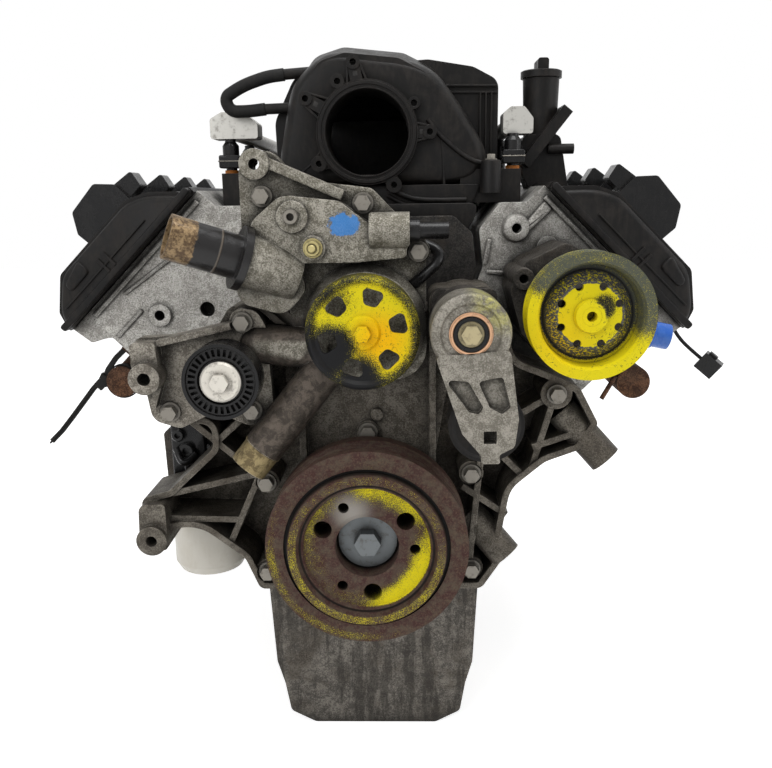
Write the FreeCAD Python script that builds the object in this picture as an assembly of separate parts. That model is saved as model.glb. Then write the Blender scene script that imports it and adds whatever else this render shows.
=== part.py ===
import FreeCAD, Part
import math
import os

# V8 engine, front towards -Y, +Z up, +X to the right seen from the front.
# The origin is the centre of the crankshaft's rear flange face. All sizes in millimetres.

# Clearances
running_gap = 0.05
seat_gap = 0.3
hole_gap = 0.15

# Crank train
bore = 99.5
stroke = 90.9
deck_height = 235.0
bore_spacing = 113.3
bank_offset = 24.0
bank_angle = 45.0
front_cylinder_y = -452.0
cylinder_count = 4

main_journal_radius = 32.5
crank_pin_radius = 27.0
crank_pin_width = 50.0
web_thickness = 16.0
web_half_width = 42.0
counterweight_radius = 84.0
bearing_shell_wall = 2.4
flange_radius = 51.0
flange_thickness = 22.0
flange_bolt_circle = 82.0
flange_hole_radius = 5.5
flange_bolt_count = 8
snout_radius = 20.0
snout_front_y = -626.0

# Block
block_front_y = -525.0
block_rear_y = -26.0
pan_rail_z = -75.0
deck_half_width = 80.0
valley_floor_z = 205.0
valley_half_width = 70.0
valley_wall_thickness = 12.0
valley_wall_inset = 13.0
bank_foot = 112.0
skirt_half_width = 124.0
skirt_top_z = -20.0
skirt_inner_half_width = 92.0
bulkhead_thickness = 24.0
bay_radius = 90.0
main_cap_depth = 56.0
mount_pad_y = -300.0
mount_pad_z = -24.0
mount_pad_reach = 14.0
mount_pad_length = 130.0
mount_pad_height = 70.0
mount_spacing_y = 100.0
mount_spacing_z = 44.0
mount_hole_radius = 5.0
mount_hole_depth = 22.0

# Camshaft and chain drive
cam_height = 152.0
cam_journal_radius = 30.95
cam_core_radius = 17.0
cam_base_radius = 21.0
cam_lift = 7.0
cam_lobe_width = 17.0
sprocket_y = -545.0
sprocket_width = 12.0
chain_pitch = 9.525
crank_sprocket_teeth = 20
chain_height = 7.0
chain_gap = 0.5

# Pistons
piston_gap = 0.12
piston_height = 52.0
piston_crown_height = 30.0
piston_deck_gap = 1.85
piston_pin_radius = 12.0
piston_wall = 5.0
ring_depth = 3.5
ring_height = 1.5
ring_spacing = 6.0
rod_length = deck_height - stroke / 2 - piston_crown_height - piston_deck_gap

# Heads and covers, in bank coordinates: across (outward and down) and along the bank
gasket_thickness = 1.2
head_height = 121.8
head_overhang = 62.0
cover_height = 44.0
cover_wall = 3.0
cover_tip = 99.0
coil_height = 51.0
coil_width = 40.0
port_height = 49.8
exhaust_face = 76.0
plug_well_radius = 13.0
plug_height = 44.0
shelf_across = -107.5
shelf_drop = 24.2
shelf_width = 26.0
head_lug_depth = 5.0
head_hole_depth = 18.0
head_base = deck_height + gasket_thickness
cover_seam = head_base + head_height
cover_top = cover_seam + cover_height
coil_top = cover_top + coil_height
port_along = head_base + port_height
head_front_y = front_cylinder_y - head_overhang
head_rear_y = front_cylinder_y + (cylinder_count - 1) * bore_spacing + head_overhang

# Bosses on the front of each head: across, height above the head's base, boss radius, hole radius
head_lugs = [(-60.0, 82.0, 11.0, 4.5), (20.0, 64.0, 12.0, 5.5), (52.0, 26.0, 10.0, 4.0)]
dowel_across = -20.0
dowel_height = 32.0
dowel_hole_radius = 8.0

# Level shelf between the heads, which carries the intake
half_turn_share = math.cos(math.radians(bank_angle))
intake_shelf_z = (cover_seam - shelf_drop - shelf_across) * half_turn_share
intake_shelf_outer_x = (cover_seam - shelf_drop + shelf_across) * half_turn_share
intake_shelf_inner_x = intake_shelf_outer_x - shelf_width

# Timing cover
cover_floor_y = -548.0
dome_front_y = -585.0
wing_front_y = -600.0
wing_wall = 6.0
cover_bottom_z = -68.0
chain_room_radius_top = 74.0
chain_room_radius_bottom = 50.0
dome_wall = 6.0
wing_floor = 8.0
wing_boss_radius = 15.0
dome_bolt_z = 95.0
dome_boss_front_y = -590.0
seal_outer_radius = 33.0
tube_boss_radius = 16.0
tube_hole_radius = 5.5
tube_hole_depth = 38.0
foot_boss_x = -214.0
foot_boss_z = -8.0
foot_hole_radius = 5.5
passage_radius = 19.0

# Crank damper
damper_front_y = -662.0
damper_radius = 95.0
damper_ring_front_y = -655.0
damper_ring_rear_y = -606.0
damper_ring_wall = 17.0
damper_rubber = 3.0
damper_hub_radius = 22.5
damper_face_radius = 73.5
damper_step_radius = 60.5
damper_bore_radius = 30.0
damper_hole_circle = 45.0
damper_large_hole_radius = 8.6
damper_small_hole_radius = 5.0
crank_bolt_across = 22.0

# Belt plane and pulleys
belt_front_y = -658.0
belt_rear_y = -630.0
rib_pitch = 3.56
rib_depth = 2.6
water_pump_z = 203.0
water_pulley_radius = 50.5
water_shaft_radius = 8.0
idler_x = -127.0
idler_z = 161.0
idler_radius = 34.5
idler_shoulder_radius = 8.5
idler_slot_count = 32
idler_slot_width = 2.8
steering_x = 198.5
steering_z = 216.0
steering_pulley_radius = 56.0
steering_shaft_radius = 8.5
tensioner_x = 92.0
tensioner_z = 207.0
tensioner_radius = 34.0
tensioner_post_radius = 14.0
tensioner_pulley_x = 109.0
tensioner_pulley_z = 119.5
tensioner_pulley_radius = 34.0
tensioner_front_y = -690.0
arm_back_y = -664.0

# Fasteners
bolt_across = 13.0
bolt_head_height = 8.0
bolt_flange_radius = 9.5
bolt_flange_height = 3.0
bolt_shank_radius = 4.0

# Oil pan
pan_front_y = -520.0
pan_rear_y = -34.0
pan_bottom_z = -279.0
pan_top_half_width = 118.0
pan_offset_x = -1.0
pan_flange_lip = 13.0
pan_flange_half_width = pan_top_half_width + pan_flange_lip
pan_rail_height = 9.0
pan_bolt_radius = 4.2
pan_flange_height = 8.0
pan_wall = 4.0

# Intake manifold
throttle_x = 0.0
throttle_z = intake_shelf_z + 71.0
throttle_front_y = -494.0
throttle_radius = 42.4
throttle_ring_radius = 52.0
throttle_bore_depth = 70.0
ear_hole_radius = 3.2
runner_height = 34.0
runner_half_width = 28.0
runner_reach = 63.0
intake_rear_y = -70.0
rail_x = intake_shelf_outer_x - 6.5
rail_z = intake_shelf_z + 80.0
rail_radius = 9.0
rail_can_shift = 6.0
hose_nipple_radius = 5.5
hose_radius = 6.5

# Exhaust manifolds, in bank coordinates
manifold_across = 121.0
manifold_along = port_along
manifold_radius = 18.0
manifold_wall = 4.0
tie_y = -450.0

# Hoses, filter and filler
outlet_radius = 20.0
outlet_tube_length = 70.0
neck_radius = 19.0
neck_bore_radius = 14.5
hose_seat_length = 22.0
filter_radius = 41.0
filter_x = -191.0
filter_y = -478.0
filter_top_z = -14.0
filter_bottom_z = -100.0
filler_x = intake_shelf_outer_x + 30.0
filler_y = -400.0
filler_top_z = intake_shelf_z + 132.0
filler_radius = 20.0
filler_wall = 3.0
cap_radius = 22.5

# Coolant pump
pump_plate_y = -601.0
pump_boss_radius = 11.0
bracket_front_y = -613.0
sensor_y = -614.0
sensor_z = 289.0

# Steering pump
steering_body_radius = 40.0
port_radius = 8.0
cap_length = 20.0
cap_overlap = 12.0
cap_wall = 4.0

# Short lead on the right cover
wire_radius = 2.0
wire_grommet_radius = 5.0
wire_grommet_length = 14.0
connector_size = (22.0, 16.0, 20.0)


def vec(x, y, z):
    return FreeCAD.Vector(x, y, z)


Y_AXIS = vec(0, 1, 0)

pin_angles = [90, 0, 180, 270]
crankcase_half_length = bore_spacing / 2 - bulkhead_thickness / 2

# Bolts that hold the timing cover to the block, then those on its wings and on the pump: x, z
cover_bolts = [(-104.0, -50.0), (102.0, -48.0), (101.0, 53.0), (-101.0, 45.0)]
wing_bolts = [(181.0, 134.0), (-108.0, 124.0), (-186.0, 123.0), (-113.0, 208.0)]
pump_bolts = [(-91.6, 321.0), (0.0, 314.0), (50.0, 270.0)]

# Open trays on both sides of the timing cover: x, z, corner radius
right_wing = [(60, 234, 10), (118, 238, 12), (131, 202, 12), (141, 167, 20), (172, 155, 12),
              (203, 140, 14), (222, 104, 6), (205, 78, 12), (172, 66, 30), (139, 38, 30), (131, -8, 10),
              (133, -36, 8), (112, -68, 10), (60, -68, 6), (60, 40, 6)]
left_wing = [(-60, 190, 10), (-98, 224, 8), (-128, 220, 8), (-150, 186, 8), (-180, 150, 10),
             (-202, 126, 14), (-186, 108, 8), (-152, 106, 10), (-151, 82, 12), (-198, 38, 8),
             (-226, 30, 8), (-228, -22, 10), (-207, -24, 6), (-203, -4, 4), (-172, 2, 40),
             (-126, -34, 20), (-112, -68, 8), (-60, -68, 6), (-60, 40, 6)]
wing_ribs = [((181, 134), (160, 60)), ((181, 134), (110, 90)), ((160, 80), (205, 95)),
             ((150, 52), (112, 90)), ((136, 10), (92, 40)), ((112, 90), (100, -40)),
             ((-196, 34), (-110, 54)), ((-140, -18), (-108, 52)), ((-186, 120), (-110, 54)),
             ((-150, 86), (-100, 130)), ((-215, 8), (-130, 6))]
tube_bosses = [(vec(190, -578, 112), vec(232, -593, 66)), (vec(100, -578, 6), vec(137, -593, -35))]
bracket_outline = [(-104, 226, 12), (-126, 208, 12), (-152, 197, 10), (-214, 194, 8), (-222, 168, 14),
                   (-208, 140, 12), (-204, 114, 14), (-178, 106, 12), (-144, 122, 20), (-106, 106, 14),
                   (-88, 128, 14), (-92, 204, 14)]

# Coolant ways: the lower neck, the passage beside it and the upper outlet
neck_root = vec(-34, -607, 168)
neck_tip = vec(-112, -630, 72)
neck_length = neck_tip.sub(neck_root).Length
passage_root = vec(-34, -604, 179)
passage_end = vec(-100, -602, 186)
outlet_root = vec(-64, -604, 250)
outlet_face = vec(-107, -622, 266)

# Steering pump port
port_root = vec(228, -602, 200)
port_tip = vec(274, -602, 190)

# Plenum, the box behind it, flange ears and hose ways, as offsets from the throttle's centre
plenum_corners = [(-88, -55, 10), (-90, 7, 20), (-80, 51, 22), (-56, 83, 22), (-26, 92, 20), (38, 85, 20),
                  (70, 69, 22), (98, 29, 26), (126, -17, 12), (116, -55, 12)]
box_corners = [(-100, -55, 10), (-102, 17, 24), (-76, 69, 30), (64, 78, 24), (112, 70, 20), (139, 56, 14),
               (139, -55, 10)]
throttle_ears = [(-13, 68, 7), (-29, 50, 7), (-62, 34, 7), (-50, -30, 8), (27, -52, 8), (64, 0, 7),
                 (48, 28, 6)]
hose_nipples = [((-58, -452, 65), (-88, -452, 63)), ((-76, -448, 30), (-110, -448, 29))]
hose_bends = [(-106, -452, 61), (-132, -451, 53), (-153, -450, 41), (-147, -449, 27), (-129, -448, 27)]

# Lead
wire_route = [vec(332, -437, 192), vec(336, -444, 176), vec(344, -452, 160), vec(357, -460, 147),
              vec(365, -464, 140)]


def corner_edges(corners, place):
    """Edges of a closed outline whose corners are (a, b, radius); place(a, b) puts a point in space."""
    edges = []
    count = len(corners)
    starts = []
    ends = []
    middles = []
    for index in range(count):
        a, b, radius = corners[index]
        pa, pb = corners[index - 1][:2]
        na, nb = corners[(index + 1) % count][:2]
        before = math.hypot(pa - a, pb - b)
        after = math.hypot(na - a, nb - b)
        ua, ub = (pa - a) / before, (pb - b) / before
        wa, wb = (na - a) / after, (nb - b) / after
        turn = math.acos(max(-1.0, min(1.0, ua * wa + ub * wb)))
        if radius <= 0 or turn > math.pi - 0.01:
            starts.append((a, b))
            ends.append((a, b))
            middles.append(None)
            continue
        back = radius / math.tan(turn / 2)
        length = math.hypot(ua + wa, ub + wb)
        out = radius / math.sin(turn / 2) - radius
        starts.append((a + ua * back, b + ub * back))
        ends.append((a + wa * back, b + wb * back))
        middles.append((a + (ua + wa) / length * out, b + (ub + wb) / length * out))
    for index in range(count):
        if middles[index]:
            points = (starts[index], middles[index], ends[index])
            edges.append(Part.Arc(*[place(*p) for p in points]).toShape())
        following = starts[(index + 1) % count]
        if math.dist(ends[index], following) > 1e-6:
            edges.append(Part.LineSegment(place(*ends[index]), place(*following)).toShape())
    return edges


def outline_face(corners, place):
    wire = Part.Wire(Part.__sortEdges__(corner_edges(corners, place)))
    return Part.Face(wire)


def slab(corners, y_back, y_front):
    """Outline in X and Z, extruded along Y."""
    face = outline_face(corners, lambda a, b: vec(a, y_back, b))
    return face.extrude(vec(0, y_front - y_back, 0))


def mirrored_outline(corners):
    """Outline of the right half, top to bottom, closed with its mirror image."""
    left = [(-a, b, radius) for a, b, radius in reversed(corners) if abs(a) > 0.001]
    return corners + left


def disc(x, z, radius, y_back, y_front):
    return Part.makeCylinder(radius, abs(y_front - y_back), vec(x, min(y_back, y_front), z), Y_AXIS)


def ring(x, z, outer, inner, y_back, y_front):
    return disc(x, z, outer, y_back, y_front).cut(disc(x, z, inner, y_back + 1, y_front - 1))


def rod(start, end, radius):
    direction = end.sub(start)
    return Part.makeCylinder(radius, direction.Length, start, direction)


def beyond(start, end, distance):
    """Point on the line from start to end, this far past end (before it when negative)."""
    way = end.sub(start).normalize()
    return end.add(way.multiply(distance))


def intake_point(offset):
    """Point given as an offset from the throttle's centre, with its own Y."""
    return vec(throttle_x + offset[0], offset[1], throttle_z + offset[2])


def turned(profile, x, z):
    """Closed profile of (radius, y) points, turned about a line along Y."""
    points = [vec(x + radius, y, z) for radius, y in profile]
    face = Part.Face(Part.makePolygon(points + [points[0]]))
    return face.revolve(vec(x, 0, z), Y_AXIS, 360)


def upright(profile, x, y):
    """Closed profile of (radius, z) points, turned about a vertical line."""
    points = [vec(x + radius, y, z) for radius, z in profile]
    face = Part.Face(Part.makePolygon(points + [points[0]]))
    return face.revolve(vec(x, y, 0), vec(0, 0, 1), 360)


def hexagon(x, z, across, y_back, y_front):
    radius = across / math.sqrt(3)
    corners = []
    for step in range(6):
        angle = math.radians(60 * step)
        corners.append((x + radius * math.cos(angle), z + radius * math.sin(angle), 0))
    return slab(corners, y_back, y_front)


def rib(start, end, width, y_back, y_front):
    """Straight wall between two (x, z) points."""
    dx, dz = end[0] - start[0], end[1] - start[1]
    length = math.hypot(dx, dz)
    sx, sz = -dz / length * width / 2, dx / length * width / 2
    corners = [
        (start[0] + sx, start[1] + sz, 0),
        (end[0] + sx, end[1] + sz, 0),
        (end[0] - sx, end[1] - sz, 0),
        (start[0] - sx, start[1] - sz, 0),
    ]
    return slab(corners, y_back, y_front)


def fuse_all(shapes):
    result = shapes[0]
    if len(shapes) > 1:
        result = result.multiFuse(shapes[1:])
    return result.removeSplitter()


def box(x0, x1, y0, y1, z0, z1):
    return Part.makeBox(x1 - x0, y1 - y0, z1 - z0, vec(x0, y0, z0))


def on_bank(shape, side):
    """Turns a shape from bank coordinates (X across, Z along the bank) into place; side is 1 or -1."""
    placed = shape.copy()
    placed.rotate(vec(0, 0, 0), Y_AXIS, bank_angle)
    if side < 0:
        placed = placed.mirror(vec(0, 0, 0), vec(1, 0, 0))
        placed.translate(vec(0, bank_offset, 0))
    return placed


def bank_point(side, across, y, along):
    turn = math.radians(bank_angle)
    x = along * math.sin(turn) + across * math.cos(turn)
    z = along * math.cos(turn) - across * math.sin(turn)
    shift = 0 if side > 0 else bank_offset
    return vec(side * x, y + shift, z)


def tangent_path(points):
    """Straight runs joined by tangent arcs as large as 0.45 of the shorter run allows."""
    edges = []
    radii = []
    start = points[0]
    for index in range(1, len(points) - 1):
        corner = points[index]
        back = points[index - 1].sub(corner)
        ahead = points[index + 1].sub(corner)
        reach = 0.45 * min(back.Length, ahead.Length)
        back.normalize()
        ahead.normalize()
        half_turn = (math.pi - back.getAngle(ahead)) / 2
        radius = reach / math.tan(half_turn)
        radii.append(round(radius, 1))
        first = corner.add(back.multiply(reach))
        last = corner.add(ahead.multiply(reach))
        inward = first.add(last).multiply(0.5).sub(corner)
        depth = radius / math.cos(half_turn) - radius
        middle = corner.add(inward.normalize().multiply(depth))
        edges.append(Part.LineSegment(start, first).toShape())
        edges.append(Part.Arc(first, middle, last).toShape())
        start = last
    edges.append(Part.LineSegment(start, points[-1]).toShape())
    return Part.Wire(edges), radii


def swept(points, radius):
    wire, radii = tangent_path(points)
    direction = points[1].sub(points[0])
    circle = Part.Wire(Part.makeCircle(radius, points[0], direction))
    return wire.makePipeShell([circle], True, True), radii, wire.Length


def export(name, shape):
    shape.exportStep("parts/" + name + ".step")
    print(name, len(shape.Solids), "solids", round(shape.Volume / 1000, 1), "cm3", shape.isValid())


def cylinder_ys(side):
    start = front_cylinder_y + (bank_offset if side < 0 else 0)
    return [start + index * bore_spacing for index in range(cylinder_count)]


def pin_ys():
    start = front_cylinder_y + bank_offset / 2
    return [start + index * bore_spacing for index in range(cylinder_count)]


def main_ys():
    start = front_cylinder_y + bank_offset / 2 - bore_spacing / 2
    return [start + index * bore_spacing for index in range(cylinder_count + 1)]


def block_casting():
    """Plain V-shaped casting with its skirt, before any bore is cut."""
    right = [(valley_half_width, valley_floor_z, 8.0)]
    deck = [(-deck_half_width, deck_height), (deck_half_width, deck_height), (deck_half_width, bank_foot)]
    for across, along in deck:
        corner = bank_point(1, across, 0, along)
        right.append((corner.x, corner.z, 3.0))
    right += [(skirt_half_width, skirt_top_z, 10.0), (skirt_half_width, pan_rail_z, 0)]
    return slab(mirrored_outline(right), block_front_y, block_rear_y)


def valley_wall(y_front):
    """Upright wall that closes one end of the valley between the heads."""
    corner = bank_point(1, -deck_half_width, 0, deck_height)
    corners = [(corner.x - 22, intake_shelf_z - 12.5, 6), (corner.x - 3, corner.z + 59, 6),
               (corner.x + 1, corner.z + 27, 4), (corner.x - 4, corner.z + 3, 0),
               (corner.x - 10, corner.z - 13, 0), (valley_half_width - 10, valley_floor_z - 10, 0)]
    return slab(mirrored_outline(corners), y_front + valley_wall_thickness, y_front)


def pad_middle_y(side):
    # each pad sits under the middle of its own bank, and the left bank stands further back
    return mount_pad_y + (bank_offset if side < 0 else 0)


def engine_block():
    pieces = [block_casting()]
    pieces.append(valley_wall(block_front_y + valley_wall_inset))
    pieces.append(valley_wall(block_rear_y - valley_wall_inset - valley_wall_thickness))
    pieces.append(box(-pan_flange_half_width, pan_flange_half_width, block_front_y, block_rear_y,
                      pan_rail_z, pan_rail_z + pan_rail_height))
    for side in (1, -1):
        x0, x1 = sorted((side * (skirt_half_width - 1), side * (skirt_half_width + mount_pad_reach)))
        middle_y = pad_middle_y(side)
        pieces.append(box(x0, x1, middle_y - mount_pad_length / 2, middle_y + mount_pad_length / 2,
                          mount_pad_z - mount_pad_height / 2, mount_pad_z + mount_pad_height / 2))
    body = fuse_all(pieces)
    tools = []
    for y in pin_ys():
        tools.append(disc(0, 0, bay_radius, y + crankcase_half_length, y - crankcase_half_length))
    tools.append(box(-skirt_inner_half_width, skirt_inner_half_width, block_front_y - 1, block_rear_y + 1,
                     pan_rail_z - 1, 0))
    tools.append(disc(0, 0, main_journal_radius + bearing_shell_wall + running_gap, block_front_y - 1,
                      block_rear_y + 1))
    tools.append(disc(0, cam_height, cam_journal_radius + running_gap, block_front_y - 1, block_rear_y + 1))
    for side in (1, -1):
        for y in cylinder_ys(side):
            local_y = y - (bank_offset if side < 0 else 0)
            bore_tool = Part.makeCylinder(bore / 2, deck_height - 58, vec(0, local_y, 60))
            tools.append(on_bank(bore_tool, side))
    for x, z in cover_bolts:
        tools.append(disc(x, z, bolt_shank_radius + hole_gap, block_front_y - 1, block_front_y + 20))
    for side in (1, -1):
        for y_side in (-1, 1):
            for z_side in (-1, 1):
                start = vec(side * (skirt_half_width + mount_pad_reach + 1),
                            pad_middle_y(side) + y_side * mount_spacing_y / 2,
                            mount_pad_z + z_side * mount_spacing_z / 2)
                end = start.add(vec(-side * (mount_hole_depth + 1), 0, 0))
                tools.append(rod(start, end, mount_hole_radius))
    return body.cut(tools)


def main_bearing_caps():
    caps = []
    for y in main_ys():
        half = bulkhead_thickness / 2
        width = skirt_inner_half_width - seat_gap
        corners = [(-width, 0, 0), (width, 0, 0), (width, -30, 6), (60, -main_cap_depth, 10),
                   (-60, -main_cap_depth, 10), (-width, -30, 6)]
        cap = slab(corners, y + half, y - half)
        tool = disc(0, 0, main_journal_radius + bearing_shell_wall + running_gap, y + half + 1, y - half - 1)
        caps.append(cap.cut(tool))
    return Part.makeCompound(caps)


def main_bearing_shells():
    shells = []
    inner = main_journal_radius + running_gap
    outer = inner + bearing_shell_wall
    for y in main_ys():
        half = bulkhead_thickness / 2
        whole = ring(0, 0, outer, inner, y + half, y - half)
        for z_side in (0, 1):
            keep = box(-outer, outer, y - half, y + half, (z_side - 1) * outer, z_side * outer)
            shells.append(whole.common(keep))
    return Part.makeCompound(shells)


def crank_web(y_back, y_front, angle):
    """One crank cheek: a rounded arm to the pin and a wide counterweight opposite."""
    pin = stroke / 2
    corners = [(-web_half_width + 8, pin + 24, 14), (web_half_width - 8, pin + 24, 14),
               (web_half_width, -6, 8), (62, -30, 10), (52, -62, 20), (-52, -62, 20), (-62, -30, 10),
               (-web_half_width, -6, 8)]
    cheek = slab(corners, y_back, y_front)
    round_limit = disc(0, 0, counterweight_radius, y_back, y_front)
    cheek = cheek.common(round_limit)
    cheek.rotate(vec(0, 0, 0), Y_AXIS, angle)
    return cheek


def crankshaft():
    pieces = []
    mains = main_ys()
    for index, y in enumerate(pin_ys()):
        angle = pin_angles[index]
        turn = math.radians(angle)
        pin_x = stroke / 2 * math.sin(turn)
        pin_z = stroke / 2 * math.cos(turn)
        half = crank_pin_width / 2
        pieces.append(disc(pin_x, pin_z, crank_pin_radius, y + half + 1, y - half - 1))
        pieces.append(crank_web(y - half, y - half - web_thickness, angle))
        pieces.append(crank_web(y + half + web_thickness, y + half, angle))
    for y in mains:
        half = (bore_spacing - crank_pin_width) / 2 - web_thickness
        pieces.append(disc(0, 0, main_journal_radius, y + half + 1, y - half - 1))
    pieces.append(disc(0, 0, main_journal_radius, mains[-1], -flange_thickness + 1))
    pieces.append(disc(0, 0, flange_radius, -flange_thickness, 0))
    pieces.append(disc(0, 0, snout_radius, mains[0], snout_front_y))
    pieces.append(disc(0, 0, main_journal_radius, mains[0], block_front_y + 2))
    shaft = fuse_all(pieces)
    holes = [disc(0, 0, 7.0, snout_front_y - 1, snout_front_y + 45)]
    holes.append(disc(0, 0, 14.0, 1, -14))
    for index in range(flange_bolt_count):
        turn = math.radians(360 / flange_bolt_count * index)
        x = flange_bolt_circle / 2 * math.cos(turn)
        z = flange_bolt_circle / 2 * math.sin(turn)
        holes.append(disc(x, z, flange_hole_radius, 1, -flange_thickness - 1))
    return shaft.cut(holes)


def sprocket(x, z, teeth, bore_radius):
    """Toothed wheel: each tooth is a pointed lobe between two chain seats."""
    pitch_radius = chain_pitch / 2 / math.sin(math.pi / teeth)
    root = pitch_radius - 2.6
    tip = pitch_radius + 2.4
    points = []
    for index in range(teeth):
        for share, radius in ((0.0, root), (0.3, root), (0.45, tip), (0.85, tip)):
            turn = 2 * math.pi * (index + share) / teeth
            points.append((x + radius * math.sin(turn), z + radius * math.cos(turn), 0))
    wheel = slab(points, sprocket_y + sprocket_width / 2, sprocket_y - sprocket_width / 2)
    return wheel.cut(disc(x, z, bore_radius, sprocket_y + sprocket_width, sprocket_y - sprocket_width))


def tip_radius(teeth):
    return chain_pitch / 2 / math.sin(math.pi / teeth) + 2.4


def timing_chain():
    """Flat-sided link belt round both wheels, clear of their teeth."""
    small = tip_radius(crank_sprocket_teeth) + chain_gap
    large = tip_radius(2 * crank_sprocket_teeth) + chain_gap

    def loop(extra):
        r_small, r_large = small + extra, large + extra
        lean = math.asin((r_large - r_small) / cam_height)
        sides = []
        for side in (1, -1):
            nx, nz = side * math.cos(lean), -math.sin(lean)
            sides.append(((r_large * nx, cam_height + r_large * nz), (r_small * nx, r_small * nz)))
        (a, b), (c, d) = sides
        y = sprocket_y + sprocket_width / 2 - 1
        place = lambda p: vec(p[0], y, p[1])
        edges = [Part.LineSegment(place(a), place(b)).toShape(),
                 Part.Arc(place(b), vec(0, y, -r_small), place(d)).toShape(),
                 Part.LineSegment(place(d), place(c)).toShape(),
                 Part.Arc(place(c), vec(0, y, cam_height + r_large), place(a)).toShape()]
        face = Part.Face(Part.Wire(edges))
        return face.extrude(vec(0, -(sprocket_width - 2), 0))

    return loop(chain_height).cut(loop(0))


def camshaft():
    pieces = [disc(0, cam_height, cam_core_radius, block_rear_y - 4, sprocket_y - 14)]
    for y in main_ys():
        half = bulkhead_thickness / 2
        pieces.append(disc(0, cam_height, cam_journal_radius, y + half, y - half))
    lobe_angles = [30, 75, 120, 165, 210, 255, 300, 345]
    index = 0
    for y in pin_ys():
        for shift in (-32, -11, 11, 32):
            turn = math.radians(lobe_angles[index % len(lobe_angles)] + 180 * (index // len(lobe_angles)))
            y_back = y + shift + cam_lobe_width / 2
            y_front = y + shift - cam_lobe_width / 2
            base = disc(0, cam_height, cam_base_radius, y_back, y_front)
            nose_x = cam_lift * math.sin(turn)
            nose_z = cam_lift * math.cos(turn)
            nose = disc(nose_x, cam_height + nose_z, cam_base_radius - 1, y_back, y_front)
            pieces += [base, nose]
            index += 1
    return fuse_all(pieces)


def piston(side, index):
    """Piston with ring grooves and its cross pin, at its true height for the crank's rest angle."""
    pin_turn = math.radians(pin_angles[index])
    bank_turn = math.radians(bank_angle) * side
    lag = pin_turn - bank_turn
    crank_radius = stroke / 2
    height = crank_radius * math.cos(lag) + math.sqrt(rod_length ** 2 - (crank_radius * math.sin(lag)) ** 2)
    outer = bore / 2 - piston_gap
    crown = height + piston_crown_height
    foot = crown - piston_height
    groove = outer - ring_depth
    profile = [(0, crown), (outer, crown)]
    for top in (crown - ring_spacing, crown - 2 * ring_spacing):
        profile += [(outer, top), (groove, top), (groove, top - ring_height), (outer, top - ring_height)]
    roof = crown - 2 * ring_spacing - ring_height - 2.5
    inner = outer - piston_wall
    profile += [(outer, foot), (inner, foot), (inner, roof), (0, roof)]
    y = cylinder_ys(1)[index]
    body = upright(profile, 0, y)
    bosses = rod(vec(0, y - inner - 1, height), vec(0, y + inner + 1, height), piston_pin_radius + 6)
    body = fuse_all([body, bosses])
    body = body.cut(box(-30, 30, y - 14, y + 14, foot - 1, roof - 1))
    pin_tool = rod(vec(0, y - outer - 1, height), vec(0, y + outer + 1, height), piston_pin_radius)
    body = body.cut(pin_tool)
    pin = rod(vec(0, y - outer + 8, height), vec(0, y + outer - 8, height), piston_pin_radius)
    return on_bank(body.fuse(pin).removeSplitter(), side)


def pistons():
    bodies = []
    for side in (1, -1):
        for index in range(cylinder_count):
            bodies.append(piston(side, index))
    return Part.makeCompound(bodies)


def shelf_corner(x, radius):
    """A point of the level shelf that carries the intake manifold, in bank coordinates."""
    across = (x - intake_shelf_z) * half_turn_share
    along = (x + intake_shelf_z) * half_turn_share
    return (across, along, radius)


def head_outline():
    outer = [(-82, head_base, 3), (exhaust_face, head_base, 3), (exhaust_face, port_along + 36, 4),
             (cover_tip - 16, cover_seam - 31, 4), (cover_tip - 3, cover_seam - 24, 5),
             (cover_tip, cover_seam, 0), (-106, cover_seam, 0)]
    shelf = [shelf_corner(intake_shelf_outer_x, 2), shelf_corner(intake_shelf_inner_x, 6)]
    return outer + shelf + [(-122, head_base + 46, 10), (-92, head_base + 22, 8)]


def cylinder_head(side):
    body = slab(head_outline(), head_rear_y, head_front_y)
    tools = []
    for y in cylinder_ys(1):
        chamber = Part.makeSphere(52, vec(0, y, head_base - 34))
        tools.append(chamber)
        tools.append(rod(vec(0, y, head_base + plug_height - 4), vec(0, y, cover_seam + 1), plug_well_radius))
        tools.append(rod(vec(exhaust_face - 30, y, port_along), vec(exhaust_face + 1, y, port_along), 17))
    pocket = [(-90, cover_seam - 24, 6), (90, cover_seam - 24, 6), (92, cover_seam + 1, 0),
              (-92, cover_seam + 1, 0)]
    wells = []
    for y in cylinder_ys(1):
        wells.append(rod(vec(0, y, cover_seam - 30), vec(0, y, cover_seam), plug_well_radius + 4))
    rocker_room = slab(pocket, head_rear_y - 12, head_front_y + 12).cut(wells)
    body = body.cut(rocker_room)
    body = body.cut(tools)
    lugs = []
    holes = []
    hole_floor_y = head_front_y + head_hole_depth
    lug_front_y = head_front_y - head_lug_depth
    for across, height, radius, hole_radius in head_lugs:
        lugs.append(disc(across, head_base + height, radius, head_front_y, lug_front_y))
        holes.append(disc(across, head_base + height, hole_radius, hole_floor_y, lug_front_y - 1))
    holes.append(disc(dowel_across, head_base + dowel_height, dowel_hole_radius, hole_floor_y,
                      head_front_y - 1))
    body = fuse_all([body] + lugs)
    return on_bank(body.cut(holes), side)


def head_gaskets():
    sheets = []
    for side in (1, -1):
        sheet = box(-80, 75, head_front_y + 2, head_rear_y - 2, deck_height, head_base)
        tools = []
        for y in cylinder_ys(1):
            tools.append(rod(vec(0, y, deck_height - 1), vec(0, y, head_base + 1), bore / 2 + 1))
        sheets.append(on_bank(sheet.cut(tools), side))
    return Part.makeCompound(sheets)


def cover_outline(inset):
    top = cover_top - inset
    return [(cover_tip - 3 - inset, cover_seam, 0), (cover_tip - 10 - inset, cover_seam + 19, 8),
            (57 - inset, top, 10), (-50 + inset / 2, top, 12), (-72 + inset, top - 11, 8),
            (-93 + inset, cover_seam + 12, 6), (-100 + inset, cover_seam, 0)]


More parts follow.
